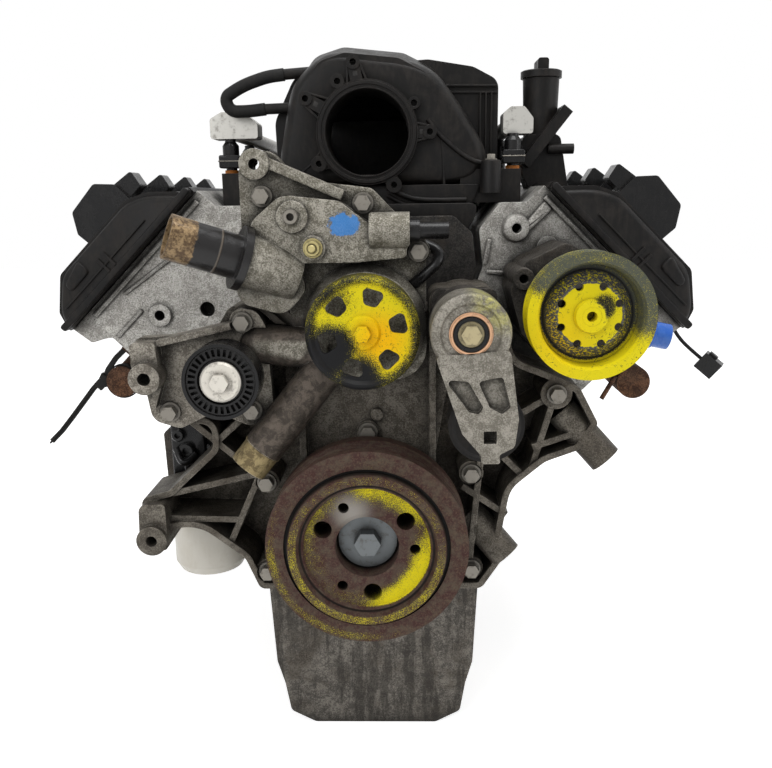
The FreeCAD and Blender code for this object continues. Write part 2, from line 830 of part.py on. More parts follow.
def wire_grommet():
    """Boss on the right cover's outer wall, where the short lead comes out."""
    start = wire_route[0]
    return rod(start, beyond(wire_route[1], start, wire_grommet_length), wire_grommet_radius)


def cover_flange():
    return slab([(cover_tip, cover_seam, 0), (cover_tip, cover_seam + 9, 3), (-104, cover_seam + 9, 3),
                 (-104, cover_seam, 0)], head_rear_y, head_front_y - 8)


def valve_cover(side):
    outer = slab(cover_outline(0), head_rear_y - 2, head_front_y - 17)
    shell = fuse_all([outer, cover_flange()])
    room = slab(cover_outline(cover_wall), head_rear_y - 2 - cover_wall, head_front_y - 6)
    shell = shell.cut(room)
    tools = []
    pillars = []
    for y in cylinder_ys(1):
        pillars.append(rod(vec(0, y, cover_seam), vec(0, y, cover_top - 1), plug_well_radius + 4))
        tools.append(rod(vec(0, y, cover_seam - 1), vec(0, y, cover_top + 1), plug_well_radius))
    shell = fuse_all([shell] + pillars).cut(tools)
    placed = on_bank(shell, side)
    if side > 0:
        inside = on_bank(slab(cover_outline(cover_wall), head_rear_y, head_front_y - 6), side)
        placed = placed.fuse(wire_grommet().cut(inside)).removeSplitter()
    return placed


def ignition_coils():
    coils = []
    for side in (1, -1):
        for y in cylinder_ys(1):
            half = coil_width / 2
            corners = [(28, cover_top, 0), (30, coil_top - 23, 5), (16, coil_top - 3, 6), (-24, coil_top, 6),
                       (-40, coil_top - 17, 6), (-40, cover_top, 0)]
            head = slab(corners, y + half, y - half)
            socket_corners = [(-36, cover_top + 14, 2), (-58, cover_top + 14, 3), (-62, cover_top + 32, 3),
                              (-36, cover_top + 36, 2)]
            socket = slab(socket_corners, y + 13, y - 13)
            boot = rod(vec(0, y, head_base + plug_height), vec(0, y, cover_top + 1), plug_well_radius - 2)
            coils.append(on_bank(fuse_all([head, socket, boot]), side))
    return Part.makeCompound(coils)


def spark_plugs():
    plugs = []
    for side in (1, -1):
        for y in cylinder_ys(1):
            top = head_base + plug_height - seat_gap
            body = rod(vec(0, y, head_base + plug_height - 4), vec(0, y, top), plug_well_radius - 3)
            plugs.append(on_bank(body, side))
    return Part.makeCompound(plugs)


def chain_room(extra, y_back, y_front):
    """Pear-shaped room round the chain drive, from the crank up to the camshaft."""
    top = chain_room_radius_top + extra
    low = chain_room_radius_bottom + extra
    crown = cam_height + top
    corners = [(top * 0.72, crown, top * 0.6), (top, cam_height, 30), (low, 10, 20), (low, -low, low * 0.8)]
    return slab(mirrored_outline(corners), y_back, y_front)


def wing_tray(corners, y_back, y_front, floor):
    face = outline_face(corners, lambda a, b: vec(a, y_back, b))
    solid = face.extrude(vec(0, y_front - y_back, 0))
    inner = face.makeOffset2D(-wing_wall)
    inner.translate(vec(0, -floor, 0))
    return solid.cut(inner.extrude(vec(0, y_front - y_back, 0)))


def timing_cover():
    plate_corners = [(112, 214, 14), (122, 60, 10), (112, cover_bottom_z, 8)]
    plate = slab(mirrored_outline(plate_corners), block_front_y, cover_floor_y)
    dome = chain_room(dome_wall, block_front_y, dome_front_y)
    back = cover_floor_y + 1
    pieces = [plate, dome]
    for corners in (right_wing, left_wing):
        pieces.append(wing_tray(corners, cover_floor_y + wing_floor, wing_front_y, wing_floor))
    for start, end in wing_ribs:
        pieces.append(rib(start, end, wing_wall, back, wing_front_y + 3))
    for x, z in wing_bolts:
        pieces.append(disc(x, z, wing_boss_radius, back, wing_front_y))
    for x, z in cover_bolts:
        pieces.append(disc(x, z, 12, block_front_y, wing_front_y + 6))
    for root, tip in tube_bosses:
        pieces.append(rod(root, tip, tube_boss_radius))
    foot_x = foot_boss_x
    pieces.append(disc(foot_x, foot_boss_z, wing_boss_radius, -560, -618))
    foot = [(foot_x - 12, 28, 8), (foot_x + 14, 28, 4), (foot_x + 14, -20, 4), (foot_x - 14, -20, 8)]
    pieces.append(slab(foot, -560, -612))
    pieces.append(disc(0, 0, seal_outer_radius + 6, dome_front_y + 20, dome_front_y - 10))
    pieces.append(disc(0, dome_bolt_z, pump_boss_radius, dome_front_y + 1, dome_boss_front_y))
    pieces.append(disc(9, dome_bolt_z + 17, 6, dome_front_y + 1, dome_boss_front_y))
    pieces.append(disc(tensioner_x, tensioner_z, tensioner_radius - 2, back, wing_front_y))
    cover = fuse_all(pieces)
    shank_hole = bolt_shank_radius + hole_gap
    tools = [chain_room(0, block_front_y + 1, dome_front_y + dome_wall)]
    tools.append(disc(0, 0, seal_outer_radius, block_front_y, dome_front_y - 11))
    tools.append(disc(0, dome_bolt_z, shank_hole, dome_front_y + 3, dome_boss_front_y - 1))
    for x, z in cover_bolts:
        tools.append(disc(x, z, shank_hole, block_front_y + 1, wing_front_y))
        tools.append(disc(x, z, bolt_flange_radius + 1.5, wing_front_y + 6, wing_front_y - 5))
    for x, z in wing_bolts:
        tools.append(disc(x, z, shank_hole, wing_front_y + 30, wing_front_y - 1))
    tools.append(disc(foot_x, foot_boss_z, foot_hole_radius, back, -620))
    for root, tip in tube_bosses:
        tools.append(rod(beyond(root, tip, -tube_hole_depth), beyond(root, tip, 1), tube_hole_radius))
        tools.append(rod(tip, beyond(root, tip, tube_hole_depth), tube_hole_radius + 2))
    tools.append(slab(pump_footprint(1.0), dome_front_y, wing_front_y - 20))
    tools.append(pump_lobe(1.0))
    tools.append(side_passage(1.0))
    tools.append(rod(neck_root, neck_point(neck_length + 20), neck_radius + 3))
    return cover.cut(tools)


def crank_front_seal():
    return ring(0, 0, seal_outer_radius, damper_hub_radius + running_gap, dome_front_y + 8, dome_front_y - 8)


def bolt_group(places, y_seat, shank):
    bolts = []
    for x, z in places:
        flange = disc(x, z, bolt_flange_radius, y_seat, y_seat - bolt_flange_height)
        head = hexagon(x, z, bolt_across, y_seat - bolt_flange_height, y_seat - bolt_head_height - 3)
        stem = disc(x, z, bolt_shank_radius, y_seat + shank, y_seat)
        bolts.append(fuse_all([flange, head, stem]))
    return bolts


def front_bolts():
    bolts = bolt_group(cover_bolts, wing_front_y + 6, block_front_y - wing_front_y + 6)
    bolts += bolt_group(wing_bolts[:1], wing_front_y, 25)
    bolts += bolt_group(wing_bolts[1:], bracket_front_y, 30)
    bolts += bolt_group(pump_bolts, pump_plate_y, 12)
    bolts += bolt_group([(0, dome_bolt_z)], dome_boss_front_y, 7)
    return Part.makeCompound(bolts)


def damper_hub():
    face = damper_front_y
    back = damper_ring_rear_y + 6
    inner_wall = damper_radius - damper_ring_wall - damper_rubber
    profile = [(snout_radius, dome_front_y + 14), (damper_hub_radius, dome_front_y + 14),
               (damper_hub_radius, back - 12), (32, back - 16), (inner_wall, back - 20), (inner_wall, face + 7),
               (damper_face_radius, face), (damper_step_radius + 5, face), (damper_step_radius + 3, face + 6),
               (damper_step_radius, face + 6), (damper_step_radius - 2, face + 10),
               (damper_bore_radius + 4, face + 10), (damper_bore_radius, face + 12),
               (damper_bore_radius, snout_front_y - 2), (snout_radius, snout_front_y - 2)]
    hub = turned(profile, 0, 0)
    holes = []
    for start, radius in ((36, damper_large_hole_radius), (118, damper_small_hole_radius)):
        for step in range(3):
            turn = math.radians(start + 120 * step)
            x = damper_hole_circle * math.cos(turn)
            z = damper_hole_circle * math.sin(turn)
            holes.append(disc(x, z, radius, damper_ring_rear_y + 10, face - 1))
    return hub.cut(holes)


def ribbed_rim(radius, inner, y_rear, y_front, grooves):
    """Rim profile with V grooves for a ribbed belt, as (radius, y) points."""
    profile = [(inner, y_rear), (radius, y_rear)]
    start = (y_rear + y_front) / 2 + grooves * rib_pitch / 2
    profile.append((radius, start + 1.5))
    for index in range(grooves):
        y = start - index * rib_pitch
        profile.append((radius - 1, y))
        profile.append((radius - 1 - rib_depth, y - rib_pitch / 2))
    profile.append((radius - 1, start - grooves * rib_pitch))
    profile.append((radius, start - grooves * rib_pitch - 1.5))
    profile += [(radius, y_front), (inner, y_front)]
    return profile


def damper_ring():
    inner = damper_radius - damper_ring_wall
    return turned(ribbed_rim(damper_radius, inner, damper_ring_rear_y, damper_ring_front_y, 6), 0, 0)


def damper_rubber_ring():
    outer = damper_radius - damper_ring_wall
    return ring(0, 0, outer, outer - damper_rubber, damper_ring_rear_y - 14, damper_ring_front_y + 3)


def crank_bolt():
    y_seat = snout_front_y - 2
    washer = disc(0, 0, damper_bore_radius - 2, y_seat, y_seat - 5)
    head = hexagon(0, 0, crank_bolt_across, y_seat - 5, y_seat - 18)
    stem = disc(0, 0, 7.0 - hole_gap, y_seat, snout_front_y + 40)
    return fuse_all([washer, head, stem])


def neck_point(distance):
    return beyond(neck_root, neck_tip, distance - neck_length)


def outlet_point(distance):
    return beyond(outlet_root, outlet_face, distance)


def pump_footprint(extra):
    """Outline of the pump's flange; extra widens it."""
    e = extra
    return [(-112 - e, 350, 16), (-84, 364 + e, 14), (-60, 336 + e, 10), (8, 327 + e, 10),
            (34 + e, 300 + e, 8), (57 + e, 284, 12), (57 + e, 150 - e, 30), (-62 - e, 150 - e, 30),
            (-72 - e, 230 - e, 16), (-112 - e, 240 - e, 20)]


def pump_volute():
    return turned([(0, dome_front_y), (57, dome_front_y), (57, -606), (50, -618), (24, -622), (18, -628),
                   (0, -628)], 0, water_pump_z)


def pump_lobe(extra):
    """Cast lobe below the outlet; extra widens it."""
    e = extra
    return slab([(-118 - e, 262, 12), (-64, 270, 10), (-52 + e, 236, 14), (-74, 214 - e, 16),
                 (-116 - e, 226 - e, 16)], dome_front_y, -614)


def side_passage(extra):
    """Rounded passage that leaves the volute sideways, behind the idler; extra widens it."""
    body = rod(passage_root, passage_end, passage_radius + extra)
    body = body.fuse(Part.makeSphere(passage_radius + extra, passage_end))
    return body.common(box(-130, 0, -640, dome_front_y, 150, 220))


def water_pump_housing():
    plate = slab(pump_footprint(0), dome_front_y, pump_plate_y)
    volute = pump_volute()
    gallery_corners = [(-98, 300, 18), (-72, 322, 20), (-20, 316, 14), (6, 296, 10), (40, 306, 6),
                       (40, 266, 6), (-8, 262, 16), (-60, 262, 12), (-104, 282, 14)]
    gallery = slab(gallery_corners, dome_front_y, -622)
    neck = rod(vec(6, sensor_y, sensor_z), vec(42, sensor_y, sensor_z), 17)
    outlet_body = rod(outlet_root, outlet_face, 24)
    drop = pump_lobe(0)
    top_boss = disc(-96, 349, 13.5, dome_front_y, -612)
    top_rib = rib((-96, 355), (-18, 321), 9, dome_front_y, -610)
    bolt_bosses = [disc(x, z, pump_boss_radius, dome_front_y, pump_plate_y) for x, z in pump_bolts]
    inlet = rod(neck_root, neck_point(neck_length - hose_seat_length), neck_radius)
    hose_seat = rod(neck_point(neck_length - hose_seat_length - 1), neck_tip, neck_radius - 1)
    plug_seat = disc(-62, 303, 14, -610, -626)
    nut_seat = disc(-44, 275.5, 11, -600, -628)
    body = fuse_all([plate, volute, gallery, neck, outlet_body, drop, top_boss, top_rib, inlet, hose_seat,
                     side_passage(0),
                     plug_seat, nut_seat] + bolt_bosses)
    tools = [disc(-96, 349, 5, dome_front_y + 1, -613)]
    for x, z in pump_bolts:
        tools.append(disc(x, z, bolt_shank_radius + hole_gap, dome_front_y + 1, pump_plate_y - 20))
        tools.append(disc(x, z, bolt_flange_radius + 1.5, pump_plate_y, pump_plate_y - 30))
    tools.append(disc(0, water_pump_z, 36, dome_front_y + 1, -606))
    tools.append(disc(0, water_pump_z, water_shaft_radius + running_gap, dome_front_y, -640))
    tools.append(rod(neck_root, neck_point(neck_length + 1), neck_bore_radius))
    tools.append(rod(outlet_root, outlet_point(1), outlet_radius - 4))
    tools.append(rod(outlet_face, outlet_point(12), outlet_radius + 10))
    tools.append(rod(vec(20, sensor_y, sensor_z), vec(43, sensor_y, sensor_z), 8))
    return body.cut(tools)


def water_pump_shaft():
    shaft = disc(0, water_pump_z, water_shaft_radius, -592, belt_rear_y - 8)
    wheel = disc(0, water_pump_z, 14, -592, -600)
    vanes = []
    for index in range(6):
        blade = box(-1.5, 1.5, -600, -589, 8, 32)
        blade.rotate(vec(0, 0, 0), Y_AXIS, 60 * index)
        blade.translate(vec(0, 0, water_pump_z))
        vanes.append(blade)
    flange = disc(0, water_pump_z, 15, belt_rear_y - 4, belt_rear_y - 8)
    return fuse_all([shaft, wheel, flange] + vanes)


def spoke_window(angle, inner, outer, share):
    """Rounded trapezoid window between two spokes of the water pump pulley."""
    half = math.radians(share) / 2
    inner_half = half * 0.85
    corners = []
    for radius, side, width in ((inner, -1, inner_half), (outer, -1, half), (outer, 1, half),
                                (inner, 1, inner_half)):
        turn = math.radians(angle) + side * width
        corners.append((radius * math.cos(turn), water_pump_z + radius * math.sin(turn), 4.5))
    return slab(corners, belt_rear_y + 40, belt_front_y - 5)


def water_pump_pulley():
    face = belt_front_y
    rim = water_pulley_radius
    profile = [(rim, belt_rear_y), (rim, face + 3), (rim - 3, face), (rim - 5, face), (rim - 8, face + 3),
               (16, face + 6), (14, face + 3), (0, face + 3), (0, face + 20), (16, face + 20), (17, face + 9),
               (rim - 8, face + 6), (rim - 4, face + 9), (rim - 4, belt_rear_y)]
    pulley = turned(profile, 0, water_pump_z)
    windows = [spoke_window(14 + 60 * index, 25, 41, 31) for index in range(6)]
    return pulley.cut(windows)


def pulley_bolt():
    return hexagon(0, water_pump_z, 13, belt_front_y + 3, belt_front_y - 5)


def idler_pulley():
    rim = idler_radius
    front = belt_front_y
    rear = belt_rear_y
    inner = idler_shoulder_radius + running_gap
    profile = [(inner, rear - 4), (17, rear - 4), (17, rear - 9), (rim - 4, rear - 9), (rim - 4, rear),
               (rim, rear), (rim, front), (rim - 3, front), (rim - 4, front + 2), (21, front + 2),
               (20, front + 5), (inner, front + 5)]
    pulley = turned(profile, idler_x, idler_z)
    slots = []
    for index in range(idler_slot_count):
        slot = box(-idler_slot_width / 2, idler_slot_width / 2, front, front + 8, 23, rim - 5)
        slot.rotate(vec(0, 0, 0), Y_AXIS, 360 / idler_slot_count * index)
        slot.translate(vec(idler_x, 0, idler_z))
        slots.append(slot)
    return pulley.cut(slots)


def idler_bolt():
    front = belt_front_y
    shoulder = disc(idler_x, idler_z, idler_shoulder_radius, bracket_front_y - 6, front + 4.4)
    cap = turned([(0, front + 4.4), (18.4, front + 4.4), (18.4, front + 1), (16.5, front - 1), (0, front - 1)],
                 idler_x, idler_z)
    head = hexagon(idler_x, idler_z, 15, front - 1, front - 7)
    return fuse_all([shoulder, cap, head])


def accessory_bracket():
    plate = slab(bracket_outline, wing_front_y, bracket_front_y)
    boss = disc(-201, 160, 14.5, wing_front_y, -640)
    lug = slab([(-216, 192, 5), (-192, 192, 4), (-190, 166, 4), (-214, 166, 5)], wing_front_y, -630)
    seat = disc(idler_x, idler_z, 19, wing_front_y, bracket_front_y - 6)
    top_rib = rib((-192, 190), (-112, 208), 6, wing_front_y, -624)
    low_rib = rib((-200, 130), (-190, 160), 6, wing_front_y, -624)
    bosses = [disc(x, z, 12.5, wing_front_y, bracket_front_y) for x, z in wing_bolts[1:]]
    body = fuse_all([plate, boss, lug, seat, top_rib, low_rib] + bosses)
    tools = [disc(-201, 160, 6, wing_front_y + 1, -641)]
    for x, z in wing_bolts[1:]:
        tools.append(disc(x, z, bolt_shank_radius + hole_gap, wing_front_y + 1, -650))
        tools.append(disc(x, z, bolt_flange_radius + 0.5, bracket_front_y, -650))
    tools.append(rod(neck_root, neck_point(neck_length + 20), neck_radius + 1))
    tools.append(slab(pump_footprint(1.0), wing_front_y + 1, -650))
    tools.append(rod(outlet_root, outlet_point(30), outlet_radius + 11))
    tools.append(side_passage(1.0))
    tools.append(pump_lobe(1.0))
    return body.cut(tools)


def arm_corners(inset):
    return [(tensioner_x - 30 + inset, tensioner_z - 18, 4), (tensioner_x + 33 - inset, tensioner_z - 14, 4),
            (tensioner_pulley_x + 24 - inset, tensioner_pulley_z + 14, 6),
            (tensioner_pulley_x + 21 - inset, tensioner_pulley_z - 10, 6),
            (tensioner_pulley_x + 8, tensioner_pulley_z - 17, 3),
            (tensioner_pulley_x + 9, tensioner_pulley_z - 25, 2),
            (tensioner_pulley_x - 7, tensioner_pulley_z - 25, 2),
            (tensioner_pulley_x - 8, tensioner_pulley_z - 17, 3),
            (tensioner_pulley_x - 24 + inset, tensioner_pulley_z + 2, 6)]


def tensioner_arm():
    face = tensioner_front_y
    head = turned([(0, arm_back_y + 20), (tensioner_radius - 2, arm_back_y + 20),
                   (tensioner_radius, arm_back_y + 18), (tensioner_radius, face + 2),
                   (tensioner_radius - 2, face), (tensioner_radius - 8, face),
                   (tensioner_radius - 10, face + 2), (0, face + 2)], tensioner_x, tensioner_z)
    arm = slab(arm_corners(0), arm_back_y, face)
    body = fuse_all([head, arm])
    x, z = tensioner_pulley_x, tensioner_pulley_z
    pockets = [slab([(tensioner_x - 22, 169, 3), (tensioner_x - 2, 167, 3), (x - 6, z + 25, 3),
                     (x - 10, z + 19, 3), (x - 18, z + 21, 3)], face + 6, face - 1),
               slab([(tensioner_x + 6, 167, 3), (tensioner_x + 27, 171, 3), (x + 17, z + 25, 3),
                     (x + 10, z + 19, 3), (x - 1, z + 25, 3)], face + 6, face - 1)]
    square = box(x - 5.5, x + 5.5, face - 1, face + 12, z - 7, z + 4)
    bore_tool = disc(tensioner_x, tensioner_z, tensioner_post_radius + running_gap, arm_back_y + 21, face - 1)
    stud = disc(x, z, idler_shoulder_radius, arm_back_y, belt_rear_y - 2)
    return fuse_all([body, stud]).cut(pockets + [square, bore_tool])


def tensioner_base():
    rear = wing_front_y
    barrel = tensioner_radius - 2
    body = turned([(0, rear), (barrel, rear), (barrel, arm_back_y + 21),
                   (tensioner_post_radius, arm_back_y + 21), (tensioner_post_radius, tensioner_front_y + 3),
                   (0, tensioner_front_y + 3)], tensioner_x, tensioner_z)
    foot = slab([(tensioner_x - 30, 236, 8), (tensioner_x + 30, 236, 8), (tensioner_x + 30, 180, 8),
                 (tensioner_x - 30, 180, 8)], rear, rear - 10)
    core = disc(tensioner_x, tensioner_z, 6, rear + 1, tensioner_front_y)
    return fuse_all([body, foot]).cut(core)


def tensioner_bolt():
    y_seat = tensioner_front_y + 3
    washer = disc(tensioner_x, tensioner_z, 11, y_seat, y_seat - 2.5)
    head = hexagon(tensioner_x, tensioner_z, 15, y_seat - 2.5, y_seat - 9)
    stem = disc(tensioner_x, tensioner_z, 6 - hole_gap, wing_front_y, y_seat)
    return fuse_all([washer, head, stem])


def tensioner_pulley():
    rim = tensioner_pulley_radius
    front = arm_back_y + 2
    rear = belt_rear_y
    inner = idler_shoulder_radius + running_gap
    profile = [(inner, rear - 3), (28, rear - 3), (rim - 3, rear), (rim, rear), (rim, front + 4),
               (rim - 3, front + 4), (28, front + 2), (inner, front + 2)]
    return turned(profile, tensioner_pulley_x, tensioner_pulley_z)


def steering_pulley():
    rim = steering_pulley_radius
    front = belt_front_y
    rear = belt_rear_y
    profile = ribbed_rim(rim, rim - 9, rear, front, 6)
    profile += [(rim - 11, front + 4), (rim - 12, rear - 8), (40, rear - 8), (34, front + 14), (30, front + 9),
                (15, front + 8), (14, front + 1), (steering_shaft_radius, front + 1),
                (steering_shaft_radius, front + 26), (15, front + 26), (16, front + 12), (28, front + 13),
                (34, front + 19), (38, rear - 4), (rim - 9, rear - 4)]
    pulley = turned(profile, steering_x, steering_z)
    holes = []
    for index in range(8):
        turn = math.radians(22.5 + 45 * index)
        holes.append(disc(steering_x + 27 * math.cos(turn), steering_z + 27 * math.sin(turn), 3.6,
                          rear, front - 1))
    return pulley.cut(holes)


def steering_shaft():
    rear = belt_rear_y + 60
    return disc(steering_x, steering_z, steering_shaft_radius, rear, belt_front_y + 1.2).cut(
        disc(steering_x, steering_z, 4.5, belt_front_y + 15, belt_front_y))


def steering_pump():
    rear = belt_rear_y + 88
    front = belt_rear_y + 5
    barrel = steering_body_radius
    body = turned([(0, rear), (barrel - 6, rear), (barrel, rear - 8), (barrel, front + 34),
                   (barrel + 6, front + 30), (barrel + 6, front + 16), (26, front + 12), (22, front),
                   (0, front)], steering_x, steering_z)
    bore_tool = disc(steering_x, steering_z, steering_shaft_radius + running_gap, rear - 14, front - 1)
    port = rod(port_root, port_tip, port_radius)
    return fuse_all([body, port]).cut(bore_tool)


def port_cap():
    """Push-on cap that closes the pump's open return port."""
    start = beyond(port_root, port_tip, -cap_overlap)
    sleeve = rod(start, beyond(port_root, start, cap_length), port_radius + cap_wall)
    bead = rod(start, beyond(port_root, start, 5), port_radius + cap_wall + 1.5)
    return fuse_all([sleeve, bead]).cut(rod(beyond(port_root, start, -1), port_tip, port_radius))


def steering_bracket():
    rear = head_front_y - 5
    front = belt_rear_y + 40
    plate = slab([(136, 232, 14), (150, 258, 12), (188, 276, 12), (240, 246, 14), (250, 206, 14),
                  (226, 170, 14), (176, 168, 14), (148, 190, 10)], rear, front)
    hole = disc(steering_x, steering_z, steering_body_radius + seat_gap, rear + 1, front - 1)
    ear = disc(148, 243, 10, rear, front - 6)
    return fuse_all([plate, ear]).cut([hole, disc(148, 243, 4.3, rear + 1, front - 7)])


def pan_section(y, top_z, scale, floor_z):
    half = pan_top_half_width
    corners = [(half, top_z, 0), (half - 6, -200, 8), ((half - 14) * scale, -228, 10),
               ((half - 20) * scale, -264, 8), ((half - 48) * scale, floor_z, 12)]
    return outline_face(mirrored_outline(corners), lambda a, b: vec(a + pan_offset_x, y, b))


def oil_pan():
    top_z = pan_rail_z - pan_flange_height
    flange = box(-pan_flange_half_width, pan_flange_half_width, pan_front_y - 5, pan_rear_y, top_z, pan_rail_z)
    front = pan_section(pan_front_y, top_z, 1.0, pan_bottom_z)
    sump = front.extrude(vec(0, 400, 0))
    rear_profile = [vec(0, pan_front_y + 400, -290), vec(0, pan_front_y + 330, -290),
                    vec(0, pan_front_y + 360, -150), vec(0, pan_front_y + 400, -140)]
    wedge = Part.Face(Part.makePolygon(rear_profile + [rear_profile[0]])).extrude(vec(300, 0, 0))
    wedge.translate(vec(-150, 0, 0))
    shallow = box(pan_offset_x - pan_top_half_width, pan_offset_x + pan_top_half_width, pan_front_y + 300,
                  pan_rear_y - 4, -140, top_z)
    body = fuse_all([flange, sump.cut(wedge), shallow])
    inner = box(-skirt_inner_half_width, skirt_inner_half_width, pan_front_y + 8, pan_rear_y - 12, -136,
                pan_rail_z + 1)
    low_section = [(98, -130, 0), (94, -200, 8), (84, -258, 8), (60, pan_bottom_z + pan_wall, 8)]
    deep = slab(mirrored_outline(low_section), pan_front_y + 310, pan_front_y + 8)
    return body.cut([inner, deep])


def oil_pan_bolts():
    bolts = []
    for side in (1, -1):
        for index in range(6):
            x = side * (pan_flange_half_width - pan_bolt_radius - seat_gap)
            y = pan_front_y + 30 + index * 85
            z = pan_rail_z - pan_flange_height
            bolts.append(Part.makeCylinder(pan_bolt_radius, 6, vec(x, y, z - 6)))
    return Part.makeCompound(bolts)


def oil_filter_adapter():
    x = filter_x
    arm = box(x, -skirt_half_width + 1, -512, -440, -8, 30)
    mount = Part.makeCylinder(filter_radius - 4, 20, vec(x, filter_y, filter_top_z))
    tower = slab([(x - 37, 74, 6), (x + 11, 74, 4), (x + 17, 30, 4), (x + 17, -8, 4), (x - 35, -8, 6)],
                 -446, -508)
    window = slab([(x - 29, 66, 3), (x - 1, 66, 3), (x + 3, 40, 3), (x - 23, 40, 3)], -480, -509)
    return fuse_all([arm, mount, tower]).cut([window, block_casting()])


def oil_filter():
    r = filter_radius
    top, low = filter_top_z, filter_bottom_z
    return upright([(0, low), (r - 16, low), (r - 5, low + 5), (r, low + 14), (r, top), (0, top)],
                   filter_x, filter_y)


def intake_section(shrink, y):
    corners = []
    for dx, dz, radius in plenum_corners:
        corners.append((throttle_x + dx * shrink, throttle_z + dz * shrink, radius * shrink))
    return outline_face(corners, lambda a, b: vec(a, y, b)).OuterWire


def throttle_ear(dx, dz, radius):
    """Flange ear: a boss on a web from the throttle ring."""
    x, z = throttle_x + dx, throttle_z + dz
    web = rib((throttle_x + dx * 0.6, throttle_z + dz * 0.6), (x, z), radius * 1.8, throttle_front_y + 12,
              throttle_front_y + 2)
    return [web, disc(x, z, radius, throttle_front_y + 14, throttle_front_y)]


def intake_manifold():
    front = throttle_front_y
    shelf = intake_shelf_z
    ring_body = disc(throttle_x, throttle_z, throttle_ring_radius, front + 30, front)
    plate = Part.makeLoft([intake_section(0.86, front + 14), intake_section(1.0, front + 60)], True)
    corners = [(throttle_x + dx, throttle_z + dz, radius) for dx, dz, radius in box_corners]
    plenum = slab(corners, intake_rear_y, front + 58)
    pieces = [ring_body, plate, plenum]
    for dx, dz, radius in throttle_ears:
        pieces += throttle_ear(dx, dz, radius)
    outer_x = intake_shelf_outer_x - 1
    for side in (1, -1):
        for y in cylinder_ys(side):
            x0, x1 = sorted((side * (outer_x - runner_reach), side * outer_x))
            pieces.append(box(x0, x1, y - runner_half_width, y + runner_half_width, shelf,
                              shelf + runner_height))
    pieces.append(box(-100, 100, front + 70, intake_rear_y, shelf - 12, shelf + 20))
    for root, tip in hose_nipples:
        pieces.append(rod(intake_point(root), intake_point(tip), hose_nipple_radius))
    body = fuse_all(pieces)
    tools = [disc(throttle_x, throttle_z, throttle_radius, front + throttle_bore_depth, front - 1),
             box(throttle_x - 92, throttle_x + 130, front + throttle_bore_depth - 2, intake_rear_y - 14,
                 shelf + 30, shelf + 118)]
    for dx, dz, radius in throttle_ears:
        tools.append(disc(throttle_x + dx, throttle_z + dz, ear_hole_radius, front + 12, front - 1))
    return body.cut(tools)


def fuel_rails():
    rails = []
    for side in (1, -1):
        x = side * rail_x
        z = rail_z
        y_front = -448 if side > 0 else -436
        tube = rod(vec(x, y_front + 20, z), vec(x, -80, z), rail_radius)
        half = 16 if side > 0 else 26
        x += rail_can_shift
        can = slab([(x - half, z - 9, 3), (x - half, z + 12, 4), (x - half * 0.5, z + 19, 5),
                    (x + half * 0.4, z + 19, 5), (x + half, z + 7, 4), (x + half, z - 9, 3)],
                   y_front + 30, y_front)
        rails.append(fuse_all([tube, can]))
    return Part.makeCompound(rails)


def injector_places():
    places = []
    for side in (1, -1):
        for y in cylinder_ys(side):
            places.append((side * rail_x, y))
    return places


def fuel_injectors():
    bodies = []
    foot = intake_shelf_z + runner_height + 4
    top = rail_z - rail_radius
    for x, y in injector_places():
        bodies.append(upright([(0, foot), (6, foot), (6, foot + 8), (9, foot + 12), (9, foot + 26),
                               (6, foot + 30), (6, top), (0, top)], x, y))
    return Part.makeCompound(bodies)


def injector_seals():
    foot = intake_shelf_z + runner_height
    return Part.makeCompound([Part.makeCylinder(7.5, 4, vec(x, y, foot)) for x, y in injector_places()])


def oil_filler_neck():
    x, y = filler_x, filler_y
    r = filler_radius
    z = intake_shelf_z
    tube = upright([(0, z + 68), (r - 2, z + 68), (r, filler_top_z), (0, filler_top_z)], x, y)
    base = slab([(x - 20, z + 28, 4), (x - 22, z + 72, 8), (x + 20, z + 72, 8), (x + 30, z + 18, 8),
                 (x + 20, z - 2, 6), (x - 6, z - 2, 6)], y + 22, y - 17)
    strap = rib((x + 26, z + 98), (x - 20, z + 40), 12, y + 10, y - 30)
    nipple = rod(vec(x + 6, y - 22, z + 56), vec(x + 34, y - 22, z + 56), 5.5)
    body = fuse_all([tube, base, strap, nipple])
    room = Part.makeCylinder(r - filler_wall, 52, vec(x, y, filler_top_z - 50))
    seat = fuse_all([slab(cover_outline(0), head_rear_y, head_front_y - 8),
                     slab(head_outline(), head_rear_y, head_front_y)])
    return body.cut([room, on_bank(seat, 1), on_bank(cover_flange(), 1)])


def filler_cap():
    x, y = filler_x, filler_y
    top = filler_top_z + seat_gap
    lid = upright([(0, top), (cap_radius, top), (cap_radius, top + 7), (cap_radius - 2, top + 8), (0, top + 8)],
                  x, y)
    tab = slab([(x - 6, top + 6, 0), (x - 6, top + 20, 3), (x + 6, top + 20, 3), (x + 6, top + 6, 0)],
               y + 14, y - 14)
    plug = Part.makeCylinder(filler_radius - filler_wall - 1.5, 14, vec(x, y, top - 13))
    return fuse_all([lid, tab, plug])


def breather_hose():
    """Vent hose from the plenum's shoulder round to its side, pushed on two nipples."""
    points = [intake_point(p) for p in [hose_nipples[0][1]] + hose_bends + [hose_nipples[1][1]]]
    body, radii, length = swept(points, hose_radius)
    print("breather hose radii", radii, "length", round(length, 1))
    return body.cut([rod(intake_point(root), intake_point(tip), hose_nipple_radius)
                     for root, tip in hose_nipples])


def upper_outlet():
    tube = rod(outlet_face, outlet_point(outlet_tube_length), outlet_radius)
    flange = rod(outlet_face, outlet_point(7), outlet_radius + 9)
    inner = rod(outlet_point(-1), outlet_point(outlet_tube_length + 1), outlet_radius - 3)
    return fuse_all([tube, flange]).cut(inner)


def temperature_sensor():
    def at(x):
        return vec(x, sensor_y, sensor_z)

    return fuse_all([rod(at(30), at(52), 8), rod(at(42), at(51), 10.5), rod(at(51), at(77), 7.5)])


